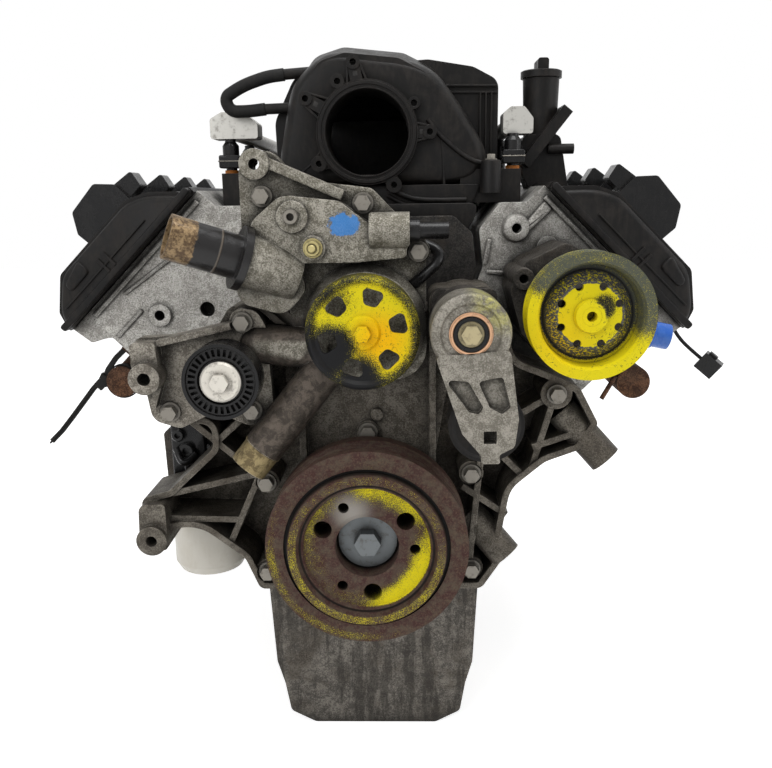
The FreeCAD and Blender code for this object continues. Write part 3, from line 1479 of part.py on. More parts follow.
def bypass_tube():
    points = [vec(40, -597, 236), vec(56, -607, 249), vec(68, -608, 260), vec(69, -600, 270),
              vec(54, -592, 277)]
    body, radii, length = swept(points, 5)
    print("bypass tube radii", radii, "length", round(length, 1))
    seats = [pump_volute(), slab(pump_footprint(0), dome_front_y, pump_plate_y)]
    for x, z in pump_bolts:
        seats.append(disc(x, z, pump_boss_radius, dome_front_y, pump_plate_y))
    return body.cut(seats)


def exhaust_manifold(side):
    log_across, log_along = manifold_across, manifold_along
    ys = cylinder_ys(1)
    log = rod(vec(log_across, ys[0] - 28, log_along), vec(log_across, ys[-1] + 30, log_along),
              manifold_radius)
    pieces = [log]
    for y in ys:
        pieces.append(rod(vec(exhaust_face + 8, y, port_along), vec(log_across, y, log_along),
                          manifold_radius - 1))
        pieces.append(box(exhaust_face, exhaust_face + 9, y - 44, y + 44, port_along - 24, port_along + 24))
    end = vec(log_across + 20, ys[-1] + 20, log_along - 60)
    pieces.append(rod(vec(log_across, ys[-1] + 10, log_along), end, manifold_radius + 5))
    body = fuse_all(pieces)
    tools = [rod(vec(log_across, ys[0] - 10, log_along), vec(log_across, ys[-1] + 20, log_along),
                 manifold_radius - manifold_wall)]
    for y in ys:
        tools.append(rod(vec(exhaust_face - 1, y, port_along), vec(log_across, y, log_along),
                         manifold_radius - 1 - manifold_wall))
    far = vec(log_across + 21, ys[-1] + 20.5, log_along - 63)
    tools.append(rod(vec(log_across, ys[-1] + 10, log_along), far, manifold_radius + 1))
    return on_bank(body.cut(tools), side)


def cable_tie():
    """Nylon tie pulled round the front of the left exhaust manifold, its long tail hanging free."""
    centre = bank_point(-1, manifold_across, 0, manifold_along)
    inner = manifold_radius + 0.2
    band = ring(centre.x, centre.z, inner + 1.6, inner, tie_y + 3, tie_y - 3)
    head_x = centre.x - inner - 3
    head = slab([(head_x - 5, centre.z + 4, 2), (head_x + 3.2, centre.z + 6, 1),
                 (head_x + 3.2, centre.z - 6, 1), (head_x - 5, centre.z - 8, 2)], tie_y + 4, tie_y - 4)
    tail = rib((head_x - 2, centre.z + 2), (head_x - 14, centre.z - 8), 1.8, tie_y + 2.5, tie_y - 2.5)
    tail_end = rib((head_x - 13.4, centre.z - 7.2), (centre.x - 93, centre.z - 74), 1.8, tie_y + 2.5,
                   tie_y - 2.5)
    loop_clear = disc(centre.x, centre.z, inner, tie_y + 5, tie_y - 5)
    return fuse_all([band, head, tail, tail_end]).cut(loop_clear)


def sensor_wire():
    body, radii, length = swept(wire_route, wire_radius)
    print("lead radii", radii, "length", round(length, 1))
    return body


def wire_connector():
    """Plug shell on the end of the lead, open at its far end."""
    sx, sy, sz = connector_size
    shell = Part.makeBox(sx, sy, sz, vec(0, -sy / 2, -sz / 2))
    mouth = Part.makeBox(10, sy - 5, sz - 7, vec(sx - 9, -sy / 2 + 2.5, -sz / 2 + 3.5))
    latch = Part.makeBox(10, 6, 3, vec(3, -3, sz / 2))
    pins = [Part.makeBox(8, 2, 2, vec(sx - 10, y, z)) for y in (-4, 2) for z in (-4, 2)]
    body = fuse_all([shell.cut(mouth), latch] + pins)
    end = wire_route[-1]
    way = end.sub(wire_route[-2]).normalize()
    lean = math.degrees(math.asin(-way.z))
    heading = math.degrees(math.atan2(way.y, way.x))
    body.rotate(vec(0, 0, 0), Y_AXIS, lean)
    body.rotate(vec(0, 0, 0), vec(0, 0, 1), heading)
    body.translate(end)
    return body


def rear_seal_retainer():
    plate = slab(mirrored_outline([(70, 62, 12), (78, -40, 12), (74, -72, 6)]), block_rear_y, block_rear_y + 12)
    return plate.cut(disc(0, 0, flange_radius + running_gap, block_rear_y - 1, block_rear_y + 13))


def main():
    os.makedirs("parts", exist_ok=True)
    export("engine_block", engine_block())
    export("main_bearing_caps", main_bearing_caps())
    export("main_bearing_shells", main_bearing_shells())
    export("crankshaft", crankshaft())
    export("crank_sprocket", sprocket(0, 0, crank_sprocket_teeth, snout_radius))
    export("cam_sprocket", sprocket(0, cam_height, 2 * crank_sprocket_teeth, cam_core_radius))
    export("timing_chain", timing_chain())
    export("camshaft", camshaft())
    export("pistons", pistons())
    for side, name in ((1, "right"), (-1, "left")):
        export("cylinder_head_" + name, cylinder_head(side))
        export("valve_cover_" + name, valve_cover(side))
        export("exhaust_manifold_" + name, exhaust_manifold(side))
    export("head_gaskets", head_gaskets())
    export("ignition_coils", ignition_coils())
    export("spark_plugs", spark_plugs())
    export("timing_cover", timing_cover())
    export("crank_front_seal", crank_front_seal())
    export("front_bolts", front_bolts())
    export("damper_hub", damper_hub())
    export("damper_ring", damper_ring())
    export("damper_rubber", damper_rubber_ring())
    export("crank_bolt", crank_bolt())
    export("water_pump_housing", water_pump_housing())
    export("water_pump_shaft", water_pump_shaft())
    export("water_pump_pulley", water_pump_pulley())
    export("water_pulley_bolt", pulley_bolt())
    export("idler_pulley", idler_pulley())
    export("idler_bolt", idler_bolt())
    export("accessory_bracket", accessory_bracket())
    export("tensioner_arm", tensioner_arm())
    export("tensioner_base", tensioner_base())
    export("tensioner_bolt", tensioner_bolt())
    export("tensioner_pulley", tensioner_pulley())
    export("steering_pump", steering_pump())
    export("steering_shaft", steering_shaft())
    export("steering_pulley", steering_pulley())
    export("steering_bracket", steering_bracket())
    export("port_cap", port_cap())
    export("oil_pan", oil_pan())
    export("oil_pan_bolts", oil_pan_bolts())
    export("oil_filter_adapter", oil_filter_adapter())
    export("oil_filter", oil_filter())
    export("intake_manifold", intake_manifold())
    export("fuel_rails", fuel_rails())
    export("fuel_injectors", fuel_injectors())
    export("injector_seals", injector_seals())
    export("oil_filler_neck", oil_filler_neck())
    export("filler_cap", filler_cap())
    export("breather_hose", breather_hose())
    export("upper_outlet", upper_outlet())
    export("temperature_sensor", temperature_sensor())
    export("bypass_tube", bypass_tube())
    export("rear_seal_retainer", rear_seal_retainer())
    export("cable_tie", cable_tie())
    export("sensor_wire", sensor_wire())
    export("wire_connector", wire_connector())


main()
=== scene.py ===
# %% [markdown]
# # A V8 engine out of its car
#
# The solids of this engine come ready made, each in its real place and at its real size. This script gives
# them the finishes of a used engine: oily castings, matt black plastic, rust, and yellow paint that was
# sprayed over the pulleys. It adds the small pieces that are quicker to shape as surfaces.

# %% Load the engine
import math

import bpy
import numpy as np
from mathutils import Matrix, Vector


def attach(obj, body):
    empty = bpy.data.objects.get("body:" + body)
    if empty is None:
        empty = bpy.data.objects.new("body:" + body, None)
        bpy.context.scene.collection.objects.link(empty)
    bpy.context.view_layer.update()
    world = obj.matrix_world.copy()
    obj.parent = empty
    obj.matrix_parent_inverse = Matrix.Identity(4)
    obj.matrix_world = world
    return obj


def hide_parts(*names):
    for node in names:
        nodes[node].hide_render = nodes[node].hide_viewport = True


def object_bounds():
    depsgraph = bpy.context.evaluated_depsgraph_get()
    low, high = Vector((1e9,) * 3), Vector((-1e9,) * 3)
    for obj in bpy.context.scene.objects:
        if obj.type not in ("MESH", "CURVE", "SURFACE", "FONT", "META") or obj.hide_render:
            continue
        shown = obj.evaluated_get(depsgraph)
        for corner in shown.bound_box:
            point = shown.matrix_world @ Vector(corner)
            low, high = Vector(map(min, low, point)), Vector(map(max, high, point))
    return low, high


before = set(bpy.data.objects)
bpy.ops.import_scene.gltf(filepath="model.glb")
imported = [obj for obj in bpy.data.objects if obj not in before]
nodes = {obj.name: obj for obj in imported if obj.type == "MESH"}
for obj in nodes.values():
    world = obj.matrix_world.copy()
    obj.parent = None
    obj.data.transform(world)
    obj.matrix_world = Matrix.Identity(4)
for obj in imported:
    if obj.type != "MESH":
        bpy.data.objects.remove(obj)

cad_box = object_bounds()
bpy.context.scene.view_settings.view_transform = "Standard"
print("pieces loaded:", len(nodes))

# %% [markdown]
# The picture was taken with a plain lens, from a little above the engine and almost straight in front.
# A camera object holds that view: its place, three turns and a focal length. The turns are made into a
# right-hand, an upward and a forward direction, because those can be checked by eye.

# %% The camera
picture_width = 772
lens_pixels = 806.145
camera_place = (0.03754, -1.34987, 0.31880)
turn_left = 0.02533
tilt_down = 0.22773
roll = -0.01401


def camera_frame():
    """Right, up and forward directions of a camera turned left, tilted down and rolled."""
    forward = np.array([-math.sin(turn_left) * math.cos(tilt_down), math.cos(turn_left) * math.cos(tilt_down),
                        -math.sin(tilt_down)])
    level = np.array([math.cos(turn_left), math.sin(turn_left), 0.0])
    upward = np.cross(level, forward)
    right = math.cos(roll) * level + math.sin(roll) * upward
    up = -math.sin(roll) * level + math.cos(roll) * upward
    return right, up, forward


lens = bpy.data.cameras.new("camera")
lens.sensor_width = 36.0
lens.lens = lens_pixels / picture_width * lens.sensor_width
lens.clip_end = 100.0
camera = bpy.data.objects.new("camera", lens)
bpy.context.scene.collection.objects.link(camera)
right, up, forward = camera_frame()
pose = np.eye(4)
pose[:3, 0], pose[:3, 1], pose[:3, 2], pose[:3, 3] = right, up, -forward, camera_place
camera.matrix_world = Matrix(pose.tolist())
bpy.context.scene.camera = camera
print("lens", round(lens.lens, 2), "mm")

# %% [markdown]
# A finish is a small network of shader nodes. Written node by node it is long and hard to read, so one class
# lets a value from a node be used with plus, minus and times, and another makes any node from its type, its
# settings and its inputs. Adding two values then looks like adding two numbers.

# %% Values and finishes


class Value:
    """One output of a shader node. An operator on it adds a Math node."""

    def __init__(self, finish, socket):
        self.finish = finish
        self.socket = socket

    def maths(self, operation, first, second):
        return self.finish.node("Math", {"operation": operation}, {0: first, 1: second})

    def __add__(self, other):
        return self.maths("ADD", self, other)

    def __radd__(self, other):
        return self.maths("ADD", other, self)

    def __sub__(self, other):
        return self.maths("SUBTRACT", self, other)

    def __rsub__(self, other):
        return self.maths("SUBTRACT", other, self)

    def __mul__(self, other):
        return self.maths("MULTIPLY", self, other)

    def __rmul__(self, other):
        return self.maths("MULTIPLY", other, self)

    def __pow__(self, other):
        return self.maths("POWER", self, other)

    def most(self, other):
        return self.maths("MAXIMUM", self, other)


class Network:
    """A node tree, and one method that adds any node to it."""

    def __init__(self, tree):
        self.tree = tree

    def node(self, kind, settings=None, inputs=None, out=0):
        made = self.tree.nodes.new("ShaderNode" + kind)
        for key, value in (settings or {}).items():
            setattr(made, key, value)
        for key, value in (inputs or {}).items():
            self.feed(made.inputs[key], value)
        return Value(self, made.outputs[out])

    def feed(self, socket, value):
        if isinstance(value, Value):
            self.tree.links.new(value.socket, socket)
        elif isinstance(value, tuple) and len(value) == 3 and socket.type == "RGBA":
            socket.default_value = (*value, 1.0)
        else:
            socket.default_value = value


class Finish(Network):
    """A material and the nodes that feed its shader."""

    def __init__(self, name, **fixed):
        self.material = bpy.data.materials.new(name)
        self.material.use_nodes = True
        super().__init__(self.material.node_tree)
        self.shader = self.tree.nodes["Principled BSDF"]
        self.finish(**fixed)

    def place(self):
        return self.node("TexCoord", out="Object")

    def axes(self):
        split = self.node("SeparateXYZ", None, {0: self.place()})
        return [Value(self, output) for output in split.socket.node.outputs]

    def noise(self, scale, detail=3.0, rough=0.6, stretch=(1.0, 1.0, 1.0), twist=0.0):
        """Cloudy pattern from 0 to 1; scale is lumps per metre, stretch squeezes it along an axis."""
        at = self.place()
        if stretch != (1.0, 1.0, 1.0):
            at = self.node("Mapping", None, {"Vector": at, "Scale": stretch})
        sizes = {"Vector": at, "Scale": scale, "Detail": detail, "Roughness": rough, "Distortion": twist}
        return self.node("TexNoise", None, sizes)

    def step(self, value, low, high):
        """0 below low, 1 above high, smooth between."""
        return self.node("MapRange", {"interpolation_type": "SMOOTHSTEP"},
                         {"Value": value, "From Min": low, "From Max": high})

    def mix(self, first, second, share):
        """Blend of two colours; the node's sockets 6, 7 and 2 are its colours and its result."""
        return self.node("Mix", {"data_type": "RGBA"}, {0: share, 6: first, 7: second}, out=2)

    def length(self, a, b):
        return (a * a + b * b) ** 0.5

    def hollow(self, reach):
        """1 in corners and under edges, 0 on open faces: how far the surroundings shade a point."""
        shade = self.node("AmbientOcclusion", {"samples": 6}, {"Distance": reach}, out="AO")
        return 1.0 - shade

    def soft_edge(self, radius):
        """Normal of the surface as if each sharp edge were rounded by radius."""
        return self.node("Bevel", {"samples": 4}, {"Radius": radius})

    def edge(self, radius):
        """1 on sharp edges: where the rounded normal leans away from the true one."""
        true = self.node("NewGeometry", out="Normal")
        normals = {0: self.soft_edge(radius), 1: true}
        lean = self.node("VectorMath", {"operation": "DOT_PRODUCT"}, normals, out="Value")
        return self.step(1.0 - lean, 0.02, 0.18)

    def bump(self, height, distance, radius=0.0008):
        inputs = {"Height": height, "Distance": distance, "Normal": self.soft_edge(radius)}
        return self.node("Bump", None, inputs)

    def finish(self, **links):
        for socket, value in links.items():
            self.feed(self.shader.inputs[socket.replace("_", " ")], value)
        return self.material


print("shader kit ready")

# %% [markdown]
# The photograph has no visible background, only white, and a soft light from above that leaves few shadows.
# The world is white where the camera or a mirror-like surface sees it, and dimmer as a source of light, so
# that the metal does not look washed out. A wide pale floor takes the contact shadow of the oil pan. Three
# large soft lamps stand in for the studio: one above, one in front, one at the side.

# %% Floor, world and lamps
floor_half = 6.0
floor_drop = 0.0004
world_strength = 0.34


def pale_floor():
    """A wide square just under the lowest point of the engine."""
    height = cad_box[0][2] - floor_drop
    corners = [(-floor_half, -floor_half, height), (floor_half, -floor_half, height),
               (floor_half, floor_half, height), (-floor_half, floor_half, height)]
    mesh = bpy.data.meshes.new("floor")
    mesh.from_pydata(corners, [], [(0, 1, 2, 3)])
    floor = bpy.data.objects.new("floor", mesh)
    bpy.context.scene.collection.objects.link(floor)
    paper = Finish("floor_paper", Roughness=0.9, Emission_Strength=0.72)
    shade = paper.mix((0.92, 0.92, 0.92), (0.95, 0.95, 0.95), paper.noise(3.0))
    seen = paper.node("LightPath", out="Is Camera Ray").most(paper.node("LightPath", out="Is Glossy Ray"))
    lift = paper.mix((0.0, 0.0, 0.0), (1.0, 1.0, 1.0), seen)
    mesh.materials.append(paper.finish(Base_Color=shade, Emission_Color=lift))
    return floor


def white_world(strength):
    """White to the camera and in reflections, a dimmer white as a source of light."""
    world = bpy.data.worlds.new("white")
    world.use_nodes = True
    sky = Network(world.node_tree)
    background = sky.tree.nodes["Background"]
    background.inputs["Color"].default_value = (1.0, 1.0, 1.0, 1.0)
    seen = sky.node("LightPath", out="Is Camera Ray")
    for ray in ("Is Glossy Ray", "Is Transmission Ray"):
        seen = seen.most(sky.node("LightPath", out=ray))
    sky.feed(background.inputs["Strength"], seen * (1.0 - strength) + strength)
    bpy.context.scene.world = world


def soft_lamp(name, place, target, size, watts):
    light = bpy.data.lights.new(name, "AREA")
    light.shape = "DISK"
    light.size = size
    light.energy = watts
    lamp = bpy.data.objects.new(name, light)
    bpy.context.scene.collection.objects.link(lamp)
    away = np.array(place, float) - np.array(target, float)
    away /= np.linalg.norm(away)
    side = np.cross((0.0, 0.0, 1.0), away)
    side /= np.linalg.norm(side)
    spot = np.eye(4)
    spot[:3, 0], spot[:3, 1], spot[:3, 2], spot[:3, 3] = side, np.cross(away, side), away, place
    lamp.matrix_world = Matrix(spot.tolist())


floor = pale_floor()
white_world(world_strength)
middle = (0.0, -0.35, 0.08)
soft_lamp("above", (0.3, -0.9, 2.4), middle, 1.5, 40.0)
soft_lamp("front", (-1.2, -2.4, 1.2), middle, 1.2, 17.0)
soft_lamp("side", (2.2, -1.4, 0.9), middle, 1.0, 11.0)
print("lamps:", len(bpy.data.lights))

# %% [markdown]
# Most of the engine is cast aluminium that has run for years. Three clouds of noise make its surface: grit of
# one millimetre, patches of a centimetre, and oil stains as large as a hand. Dirt and painted shade darken
# the metal where the surroundings shade it, and edges that were handled are worn bright. The same recipe with
# other colours gives the iron block, the cleaner heads and the sooty oil pan.

# %% Cast metal
oil_brown = (0.030, 0.022, 0.014)
soot_and_shade = (0.008, 0.007, 0.006)


def cast(name, dark, light, pale_mark, rough=0.44, metal=0.55, oil=0.6, dirt_and_shade=0.9, grit_height=0.0007, layer=None):
    """Cast metal: dark and light are the two tones of its skin, and the colour after them is the tone of its
    worn edges. A layer is a function that paints over the skin before the dirt and the painted shade."""
    kit = Finish(name, Specular_IOR_Level=0.25)
    grit = kit.noise(720.0, 4.0, 0.7)
    patches = kit.noise(95.0, 4.0, 0.7, twist=0.4)
    stains = kit.noise(17.0, 4.0, 0.65, twist=0.8)
    tone = kit.mix(dark, light, kit.step(0.45 * patches + 0.55 * grit, 0.43, 0.59))
    wet = kit.step(0.7 * stains + 0.3 * patches, 0.46, 0.62)
    tone = kit.mix(tone, oil_brown, oil * wet)
    if layer:
        tone = layer(kit, tone, patches)
    # Dirt and painted shade: the colour goes towards soot where the surroundings shade the metal.
    corner = kit.step(kit.hollow(0.022), 0.12, 0.58)
    tone = kit.mix(tone, soot_and_shade, dirt_and_shade * corner)
    rubbed = kit.edge(0.0011) * kit.step(patches, 0.38, 0.6)
    tone = kit.mix(tone, pale_mark, 0.65 * rubbed)
    shine = rough - 0.22 * wet + 0.25 * corner + 0.12 * grit
    bumps = kit.bump(grit + 0.8 * patches, grit_height, 0.002)
    return kit.finish(Base_Color=tone, Roughness=shine, Metallic=metal * (1.0 - 0.8 * corner), Normal=bumps)


def from_line(kit, start, direction):
    """How far a point lies along a line seen from the front, and how far from it."""
    x, y, z = kit.axes()
    a, b = x - start[0], z - start[1]
    aside = a * direction[1] - b * direction[0]
    return a * direction[0] + b * direction[1], aside.most(0.0 - aside)


def pump_layer(kit, tone, patches):
    """Reddish brown hose neck with a brassy tip, a brown side passage and a dab of blue paint."""
    red_brown = kit.mix((0.046, 0.038, 0.031), (0.105, 0.086, 0.070), kit.step(patches, 0.4, 0.6))
    along, across = from_line(kit, (-0.034, 0.168), (-0.6306, -0.7761))
    neck = kit.step(along, -0.014, 0.008) * (1.0 - kit.step(across, 0.022, 0.026))
    tone = kit.mix(tone, red_brown, neck)
    brassy = kit.mix((0.12, 0.09, 0.045), (0.28, 0.22, 0.11), kit.step(patches, 0.42, 0.56))
    tone = kit.mix(tone, brassy, neck * kit.step(along, 0.0985, 0.1005))
    x, y, z = kit.axes()
    low_left = (1.0 - kit.step(z, 0.206, 0.212)) * (1.0 - kit.step(x, -0.052, -0.040))
    tone = kit.mix(tone, red_brown, kit.step(y, -0.6215, -0.619) * low_left)
    a, b = x + 0.016, z - 0.2955
    distance = (a * a + 1.8 * (b * b)) ** 0.5
    ragged = distance + 0.016 * (kit.noise(150.0, 4.0, 0.7) - 0.5)
    dab = (1.0 - kit.step(ragged, 0.0125, 0.0145)) * (1.0 - kit.step(y, -0.612, -0.610))
    return kit.mix(tone, (0.035, 0.19, 0.50), 0.85 * dab)


def overspray_layer(kit, tone, patches):
    """Faint yellow mist on the edge of the tensioner's hub."""
    x, y, z = kit.axes()
    near = 1.0 - kit.step(kit.length(x - 0.118, z - 0.235), 0.010, 0.034)
    return kit.mix(tone, (0.55, 0.52, 0.05), 0.5 * near * kit.step(patches, 0.35, 0.6))


def head_layer(kit, tone, patches):
    """Dark pits on the pale machined face."""
    pits = kit.step(kit.noise(620.0, 3.0, 0.7), 0.60, 0.66)
    return kit.mix(tone, (0.05, 0.045, 0.04), 0.7 * pits)


def streak_layer(kit, tone, patches):
    """Runs of old oil down the pan."""
    runs = kit.step(kit.noise(90.0, 4.0, 0.65, stretch=(1.0, 1.0, 0.12)), 0.45, 0.62)
    return kit.mix(tone, (0.022, 0.019, 0.016), 0.65 * runs)


cover_alloy = cast("cover_alloy", (0.060, 0.052, 0.042), (0.180, 0.163, 0.136), (0.46, 0.42, 0.35), dirt_and_shade=0.6)
bracket_alloy = cast("bracket_alloy", (0.115, 0.102, 0.084), (0.34, 0.315, 0.27), (0.62, 0.57, 0.49),
                     oil=0.45)
pump_alloy = cast("pump_alloy", (0.120, 0.110, 0.086), (0.37, 0.35, 0.30), (0.66, 0.62, 0.54), oil=0.4,
                  layer=pump_layer)
arm_alloy = cast("arm_alloy", (0.14, 0.128, 0.105), (0.31, 0.29, 0.25), (0.58, 0.53, 0.45), oil=0.25,
                 dirt_and_shade=0.75, layer=overspray_layer)
head_alloy = cast("head_alloy", (0.24, 0.23, 0.21), (0.56, 0.545, 0.51), (0.80, 0.78, 0.74), oil=0.35,
                  layer=head_layer)
pan_alloy = cast("pan_alloy", (0.060, 0.054, 0.047), (0.190, 0.174, 0.150), (0.32, 0.29, 0.25), oil=0.7,
                 layer=streak_layer)
block_iron = cast("block_iron", (0.016, 0.015, 0.014), (0.050, 0.046, 0.042), (0.22, 0.20, 0.18), rough=0.42,
                  metal=0.3)
dark_alloy = cast("dark_alloy", (0.030, 0.027, 0.024), (0.085, 0.076, 0.066), (0.30, 0.27, 0.23))
rust = cast("rust", (0.050, 0.024, 0.014), (0.20, 0.095, 0.050), (0.36, 0.22, 0.14), rough=0.75, metal=0.1,
            oil=0.3, grit_height=0.0009)
print("cast finishes ready")

# %% [markdown]
# Machined and plated parts are simpler: one tone, a fine grain, and dirt and painted shade in the corners.
# Plastic and rubber have no metal in them. Their skin is a little rough, dust lies on it in patches, and
# their corners get painted shade.

# %% Plain metal and plastic


def plated(name, tone, rough, metal=0.9, dirt_and_shade=0.7):
    """Smooth metal with specks, and corners darkened by dirt and painted shade."""
    kit = Finish(name)
    grain = kit.noise(700.0, 3.0, 0.6)
    patches = kit.noise(160.0, 3.0, 0.7)
    shade = kit.mix(tone, (0.06, 0.05, 0.04), 0.5 * kit.step(patches, 0.52, 0.72))
    # Dirt and painted shade: corners go towards soot by how much the surroundings shade them.
    corner = kit.step(kit.hollow(0.008), 0.1, 0.6)
    shade = kit.mix(shade, soot_and_shade, dirt_and_shade * corner)
    return kit.finish(Base_Color=shade, Roughness=rough + 0.2 * patches + 0.2 * corner,
                      Metallic=metal * (1.0 - 0.7 * corner), Normal=kit.bump(grain, 0.00012, 0.0005))


def plastic(name, tone, dusty, rough, dust=0.28, grain_height=0.00018, coat=0.0):
    """Moulded plastic or rubber: tone with a film of dusty on it in patches, and painted shade in its
    corners.
    """
    kit = Finish(name, Coat_Weight=coat, Coat_Roughness=0.1, Specular_IOR_Level=0.14)
    grain = kit.noise(1700.0, 2.0, 0.5)
    film = kit.noise(38.0, 5.0, 0.7, twist=0.5)
    streak = kit.noise(240.0, 3.0, 0.6, stretch=(1.0, 1.0, 0.25))
    cover = kit.step(0.65 * film + 0.35 * streak, 0.42, 0.66)
    shade = kit.mix(tone, dusty, dust * cover)
    pale_mark = kit.edge(0.0009)
    shade = kit.mix(shade, dusty, 0.45 * pale_mark)
    # Painted shade: corners go towards soot by how much the surroundings shade them.
    corner = kit.step(kit.hollow(0.01), 0.15, 0.7)
    shade = kit.mix(shade, soot_and_shade, 0.5 * corner)
    return kit.finish(Base_Color=shade, Roughness=rough + 0.18 * cover, Normal=kit.bump(grain, grain_height))


steel = plated("steel", (0.20, 0.185, 0.16), 0.40, metal=0.75)
dark_steel = plated("dark_steel", (0.13, 0.14, 0.145), 0.42, metal=0.7)
bearing_alloy = plated("bearing_alloy", (0.55, 0.53, 0.50), 0.3)
bright_zinc = plated("bright_zinc", (0.46, 0.45, 0.42), 0.36, metal=0.75, dirt_and_shade=0.6)
cap_alloy = plated("cap_alloy", (0.60, 0.57, 0.51), 0.45, metal=0.6, dirt_and_shade=0.6)
brass = plated("brass", (0.42, 0.36, 0.17), 0.4, dirt_and_shade=0.7)
copper = plated("copper", (0.55, 0.33, 0.20), 0.38, dirt_and_shade=0.5)
dull_brass = plated("dull_brass", (0.40, 0.34, 0.20), 0.42, metal=0.7)
gasket = plastic("gasket", (0.035, 0.034, 0.033), (0.10, 0.09, 0.08), 0.6)
black_plastic = plastic("black_plastic", (0.0075, 0.007, 0.0068), (0.050, 0.042, 0.036), 0.36)
gloss_black = plastic("gloss_black", (0.0045, 0.0045, 0.005), (0.028, 0.025, 0.023), 0.2, dust=0.2, coat=0.2)
rubber = plastic("rubber", (0.012, 0.012, 0.012), (0.05, 0.045, 0.04), 0.55)
orange_rubber = plastic("orange_rubber", (0.62, 0.20, 0.03), (0.5, 0.3, 0.15), 0.4)
blue_plastic = plastic("blue_plastic", (0.02, 0.12, 0.52), (0.10, 0.25, 0.6), 0.22, dust=0.3, coat=0.5)
yellow_seal = plastic("yellow_seal", (0.80, 0.52, 0.03), (0.5, 0.36, 0.08), 0.45)
cream_paint = plastic("cream_paint", (0.66, 0.63, 0.56), (0.52, 0.47, 0.38), 0.35, coat=0.3)


def outlet_finish():
    """Black glossy hose stub whose last 22 mm are bare bronze, with two pale lines round it that are painted
    highlights on its rings.
    """
    kit = Finish("outlet_black", Coat_Weight=0.2, Coat_Roughness=0.12, Specular_IOR_Level=0.2)
    x, y, z = kit.axes()
    along = (x + 0.107) * -0.8722 + (y + 0.622) * -0.3651 + (z - 0.266) * 0.3245
    patches = kit.noise(130.0, 4.0, 0.7, twist=0.5)
    streaks = kit.noise(420.0, 3.0, 0.6)
    worn_through = kit.step(0.6 * patches + 0.4 * streaks, 0.4, 0.6)
    bronze = kit.mix((0.075, 0.046, 0.024), (0.26, 0.18, 0.095), worn_through)
    bare = kit.step(along + 0.006 * (patches - 0.5), 0.0465, 0.0485)
    # Painted highlight: a thin pale band round the stub, where light catches a ring.
    pale_mark = kit.step(along, 0.0245, 0.0255) * (1.0 - kit.step(along, 0.0262, 0.0272))
    shade = kit.mix((0.010, 0.009, 0.009), (0.16, 0.13, 0.10), 0.6 * pale_mark)
    shade = kit.mix(shade, bronze, bare)
    return kit.finish(Base_Color=shade, Roughness=0.24 + 0.25 * bare + 0.1 * patches, Metallic=0.7 * bare,
                      Normal=kit.bump(patches + pale_mark, 0.0006))


outlet_black = outlet_finish()
print("plain finishes ready")

# %% [markdown]
# Somebody marked three pulleys with a spray can. The paint is thick where the can pointed and thins to a mist
# around it, and it has chipped off raised places. The share of paint at a point is a sum of soft round puffs,
# each given by its place in the pulley's face, its size and how soft its rim is.

# %% Sprayed paint
yellow = (0.78, 0.66, 0.012)
golden = (0.93, 0.52, 0.004)
black_paint = (0.011, 0.011, 0.012)
purple_rust = (0.052, 0.024, 0.022)
grey_brown = (0.085, 0.065, 0.048)
crank_centre = (0.0, 0.0)
water_pulley_centre = (0.0, 0.203)
steering_pulley_centre = (0.1985, 0.216)


class Disc:
    """Places on a pulley's front: across and up from its centre, and how far from it."""

    def __init__(self, kit, centre):
        self.kit = kit
        x, y, z = kit.axes()
        self.across, self.up = x - centre[0], z - centre[1]
        self.radius = kit.length(self.across, self.up)

    def puff(self, spot, size, soft):
        """1 inside a round puff of paint, falling to 0 over the width soft."""
        distance = self.kit.length(self.across - spot[0], self.up - spot[1])
        return 1.0 - self.kit.step(distance, size, size + soft)

    def band(self, inner, outer, soft):
        """1 between two radii."""
        past = self.kit.step(self.radius, inner - soft, inner + soft)
        return past * (1.0 - self.kit.step(self.radius, outer - soft, outer + soft))


def sprayed(kit, under, share, rough, chip, metal=0.0, warm=0.0, reach=0.030):
    """Finish of a surface with a share of yellow over what lies under it, and golden where it is warm.
    Deep hollows get no paint and, like corners, are painted dark as shade.
    """
    mist = 0.6 * kit.noise(1150.0, 3.0, 0.65) + 0.4 * kit.noise(2600.0, 2.0, 0.5)
    flakes = kit.noise(330.0, 4.0, 0.75, twist=1.2)
    wide = kit.noise(45.0, 3.0, 0.6)
    loss = kit.step(flakes, 0.58, 0.63) * kit.step(wide, 0.40, 0.56)
    # Painted shade: deep hollows, and the corners below, are darkened towards soot by how much the
    # surroundings shade them.
    deep = kit.step(kit.hollow(reach), 0.62, 0.85)
    spread = share + 2.4 * (mist - 0.5) + 0.6 * (wide - 0.5) + 0.4 * (flakes - 0.5)
    amount = kit.step(spread, 0.26, 0.70) * kit.step(share, 0.02, 0.12) * (1.0 - chip * loss)
    amount = amount * (1.0 - deep)
    colour = kit.mix(yellow, golden, warm)
    shade = kit.mix(under, kit.mix(colour, (0.20, 0.20, 0.05), 0.75 * (1.0 - amount)), amount)
    shade = kit.mix(shade, soot_and_shade, deep)
    corner = kit.step(kit.hollow(0.006), 0.15, 0.75)
    shade = kit.mix(shade, soot_and_shade, 0.75 * corner)
    height = kit.bump(0.7 * amount + 0.3 * flakes, 0.00025, 0.0005)
    return kit.finish(Base_Color=shade, Roughness=rough + 0.15 * mist, Metallic=metal * (1.0 - amount),
                      Normal=height)


